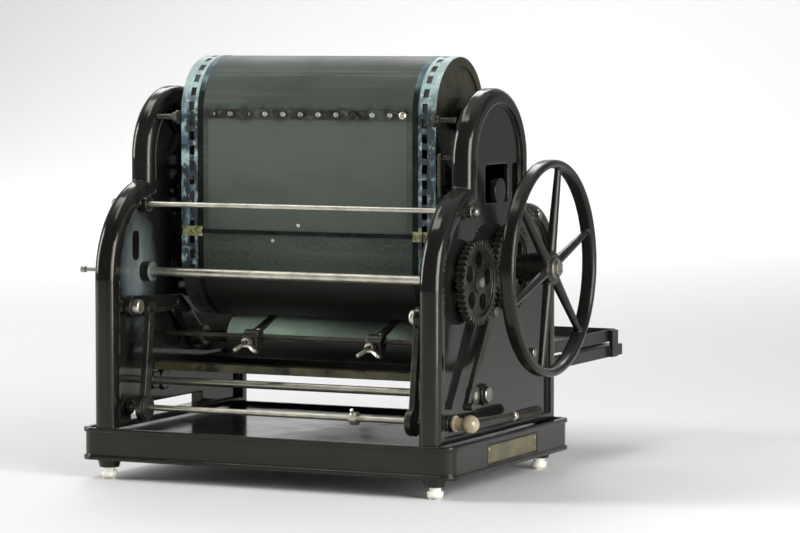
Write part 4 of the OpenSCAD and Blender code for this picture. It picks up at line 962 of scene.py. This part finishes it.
def studio_world():
    """A room that is light behind the machine and dark in front of it."""
    world = bpy.data.worlds.new("studio")
    world.use_nodes = True
    tree = world.node_tree
    direction = tree.nodes.new("ShaderNodeTexCoord").outputs["Generated"]
    split = tree.nodes.new("ShaderNodeSeparateXYZ")
    tree.links.new(direction, split.inputs[0])
    depth = tree.nodes.new("ShaderNodeMapRange")
    depth.interpolation_type = "SMOOTHSTEP"
    for socket, value in (("From Min", -0.6), ("From Max", 0.5), ("To Min", 0.08), ("To Max", 0.42)):
        depth.inputs[socket].default_value = value
    tree.links.new(split.outputs["Y"], depth.inputs["Value"])
    background = tree.nodes["Background"]
    background.inputs["Color"].default_value = (0.95, 0.97, 1.0, 1)
    tree.links.new(depth.outputs["Result"], background.inputs["Strength"])
    return world


def hang_lights():
    """Tall windows on both sides, a ceiling light over the left frame, and two lights for the background."""
    middle = MACHINE_MIDDLE
    soft_light("window_pane_1", place=(2.75, -0.75, 0.9), target=middle, size=(0.5, 1.7), power=36)
    soft_light("window_pane_2", place=(2.2, -1.75, 0.9), target=middle, size=(0.5, 1.7), power=28)
    soft_light("window_low", place=(1.3, -0.72, 0.5), target=(0, -0.15, 0.5), size=(0.2, 0.98), power=10)
    soft_light("window_left", place=(-2.7, -1.3, 1.2), target=middle, size=(0.9, 1.9), power=78)
    soft_light("ceiling", place=(-1.3, -0.4, 2.8), target=(-0.2, -0.2, 0.3), size=(1.7, 0.5), power=15)
    soft_light("ceiling_back", place=(-2.0, 3.2, 3.2), target=(-2.2, 3.2, 0), size=(2.6, 2.4), power=107)
    soft_light("wall_wash", place=(-3.0, 4.0, 3.2), target=(-2.8, 7.4, 0.6), size=(2.6, 1.6), power=101)


def soft_light(name, place, target, size, power):
    """A rectangular soft light that looks at a point."""
    data = bpy.data.lights.new(name, "AREA")
    data.shape = "RECTANGLE"
    data.size, data.size_y = size
    data.energy = power
    light = bpy.data.objects.new(name, data)
    light.location = place
    light.rotation_mode = "QUATERNION"
    light.rotation_quaternion = looking(place, target)
    bpy.context.scene.collection.objects.link(light)


class DUPLICATOR_PT_panel(bpy.types.Panel):
    """Lists the steps that dress the duplicator"""

    bl_idname = "DUPLICATOR_PT_panel"
    bl_label = "Stencil duplicator"
    bl_space_type = "VIEW_3D"
    bl_region_type = "UI"
    bl_category = "Duplicator"

    def draw(self, context):
        for operator in OPERATORS:
            self.layout.operator(operator.bl_idname)
        for group in (context.scene.duplicator_colours, context.scene.duplicator_sizes):
            for name in group.__annotations__:
                self.layout.prop(group, name)


OPERATORS = (
    DUPLICATOR_OT_finishes,
    DUPLICATOR_OT_name_plate,
    DUPLICATOR_OT_window_shade_sheet,
    DUPLICATOR_OT_stencil,
    DUPLICATOR_OT_silk_hems,
    DUPLICATOR_OT_screen_snaps,
    DUPLICATOR_OT_grip_ferrule,
    DUPLICATOR_OT_slotted_screws,
    DUPLICATOR_OT_stage,
)
CLASSES = (DuplicatorColours, DuplicatorSizes, *OPERATORS, DUPLICATOR_PT_panel)


def register():
    for cls in CLASSES:
        bpy.utils.register_class(cls)
    bpy.types.Scene.duplicator_colours = bpy.props.PointerProperty(type=DuplicatorColours)
    bpy.types.Scene.duplicator_sizes = bpy.props.PointerProperty(type=DuplicatorSizes)


def unregister():
    del bpy.types.Scene.duplicator_colours
    del bpy.types.Scene.duplicator_sizes
    for cls in reversed(CLASSES):
        bpy.utils.unregister_class(cls)


def main():
    register()
    bpy.ops.duplicator.finishes()
    bpy.ops.duplicator.name_plate()
    bpy.ops.duplicator.window_cover()
    bpy.ops.duplicator.stencil()
    bpy.ops.duplicator.silk_hems()
    bpy.ops.duplicator.screen_snaps()
    bpy.ops.duplicator.grip_ferrule()
    bpy.ops.duplicator.slotted_screws()
    bpy.ops.duplicator.stage()


if __name__ == "__main__":
    main()
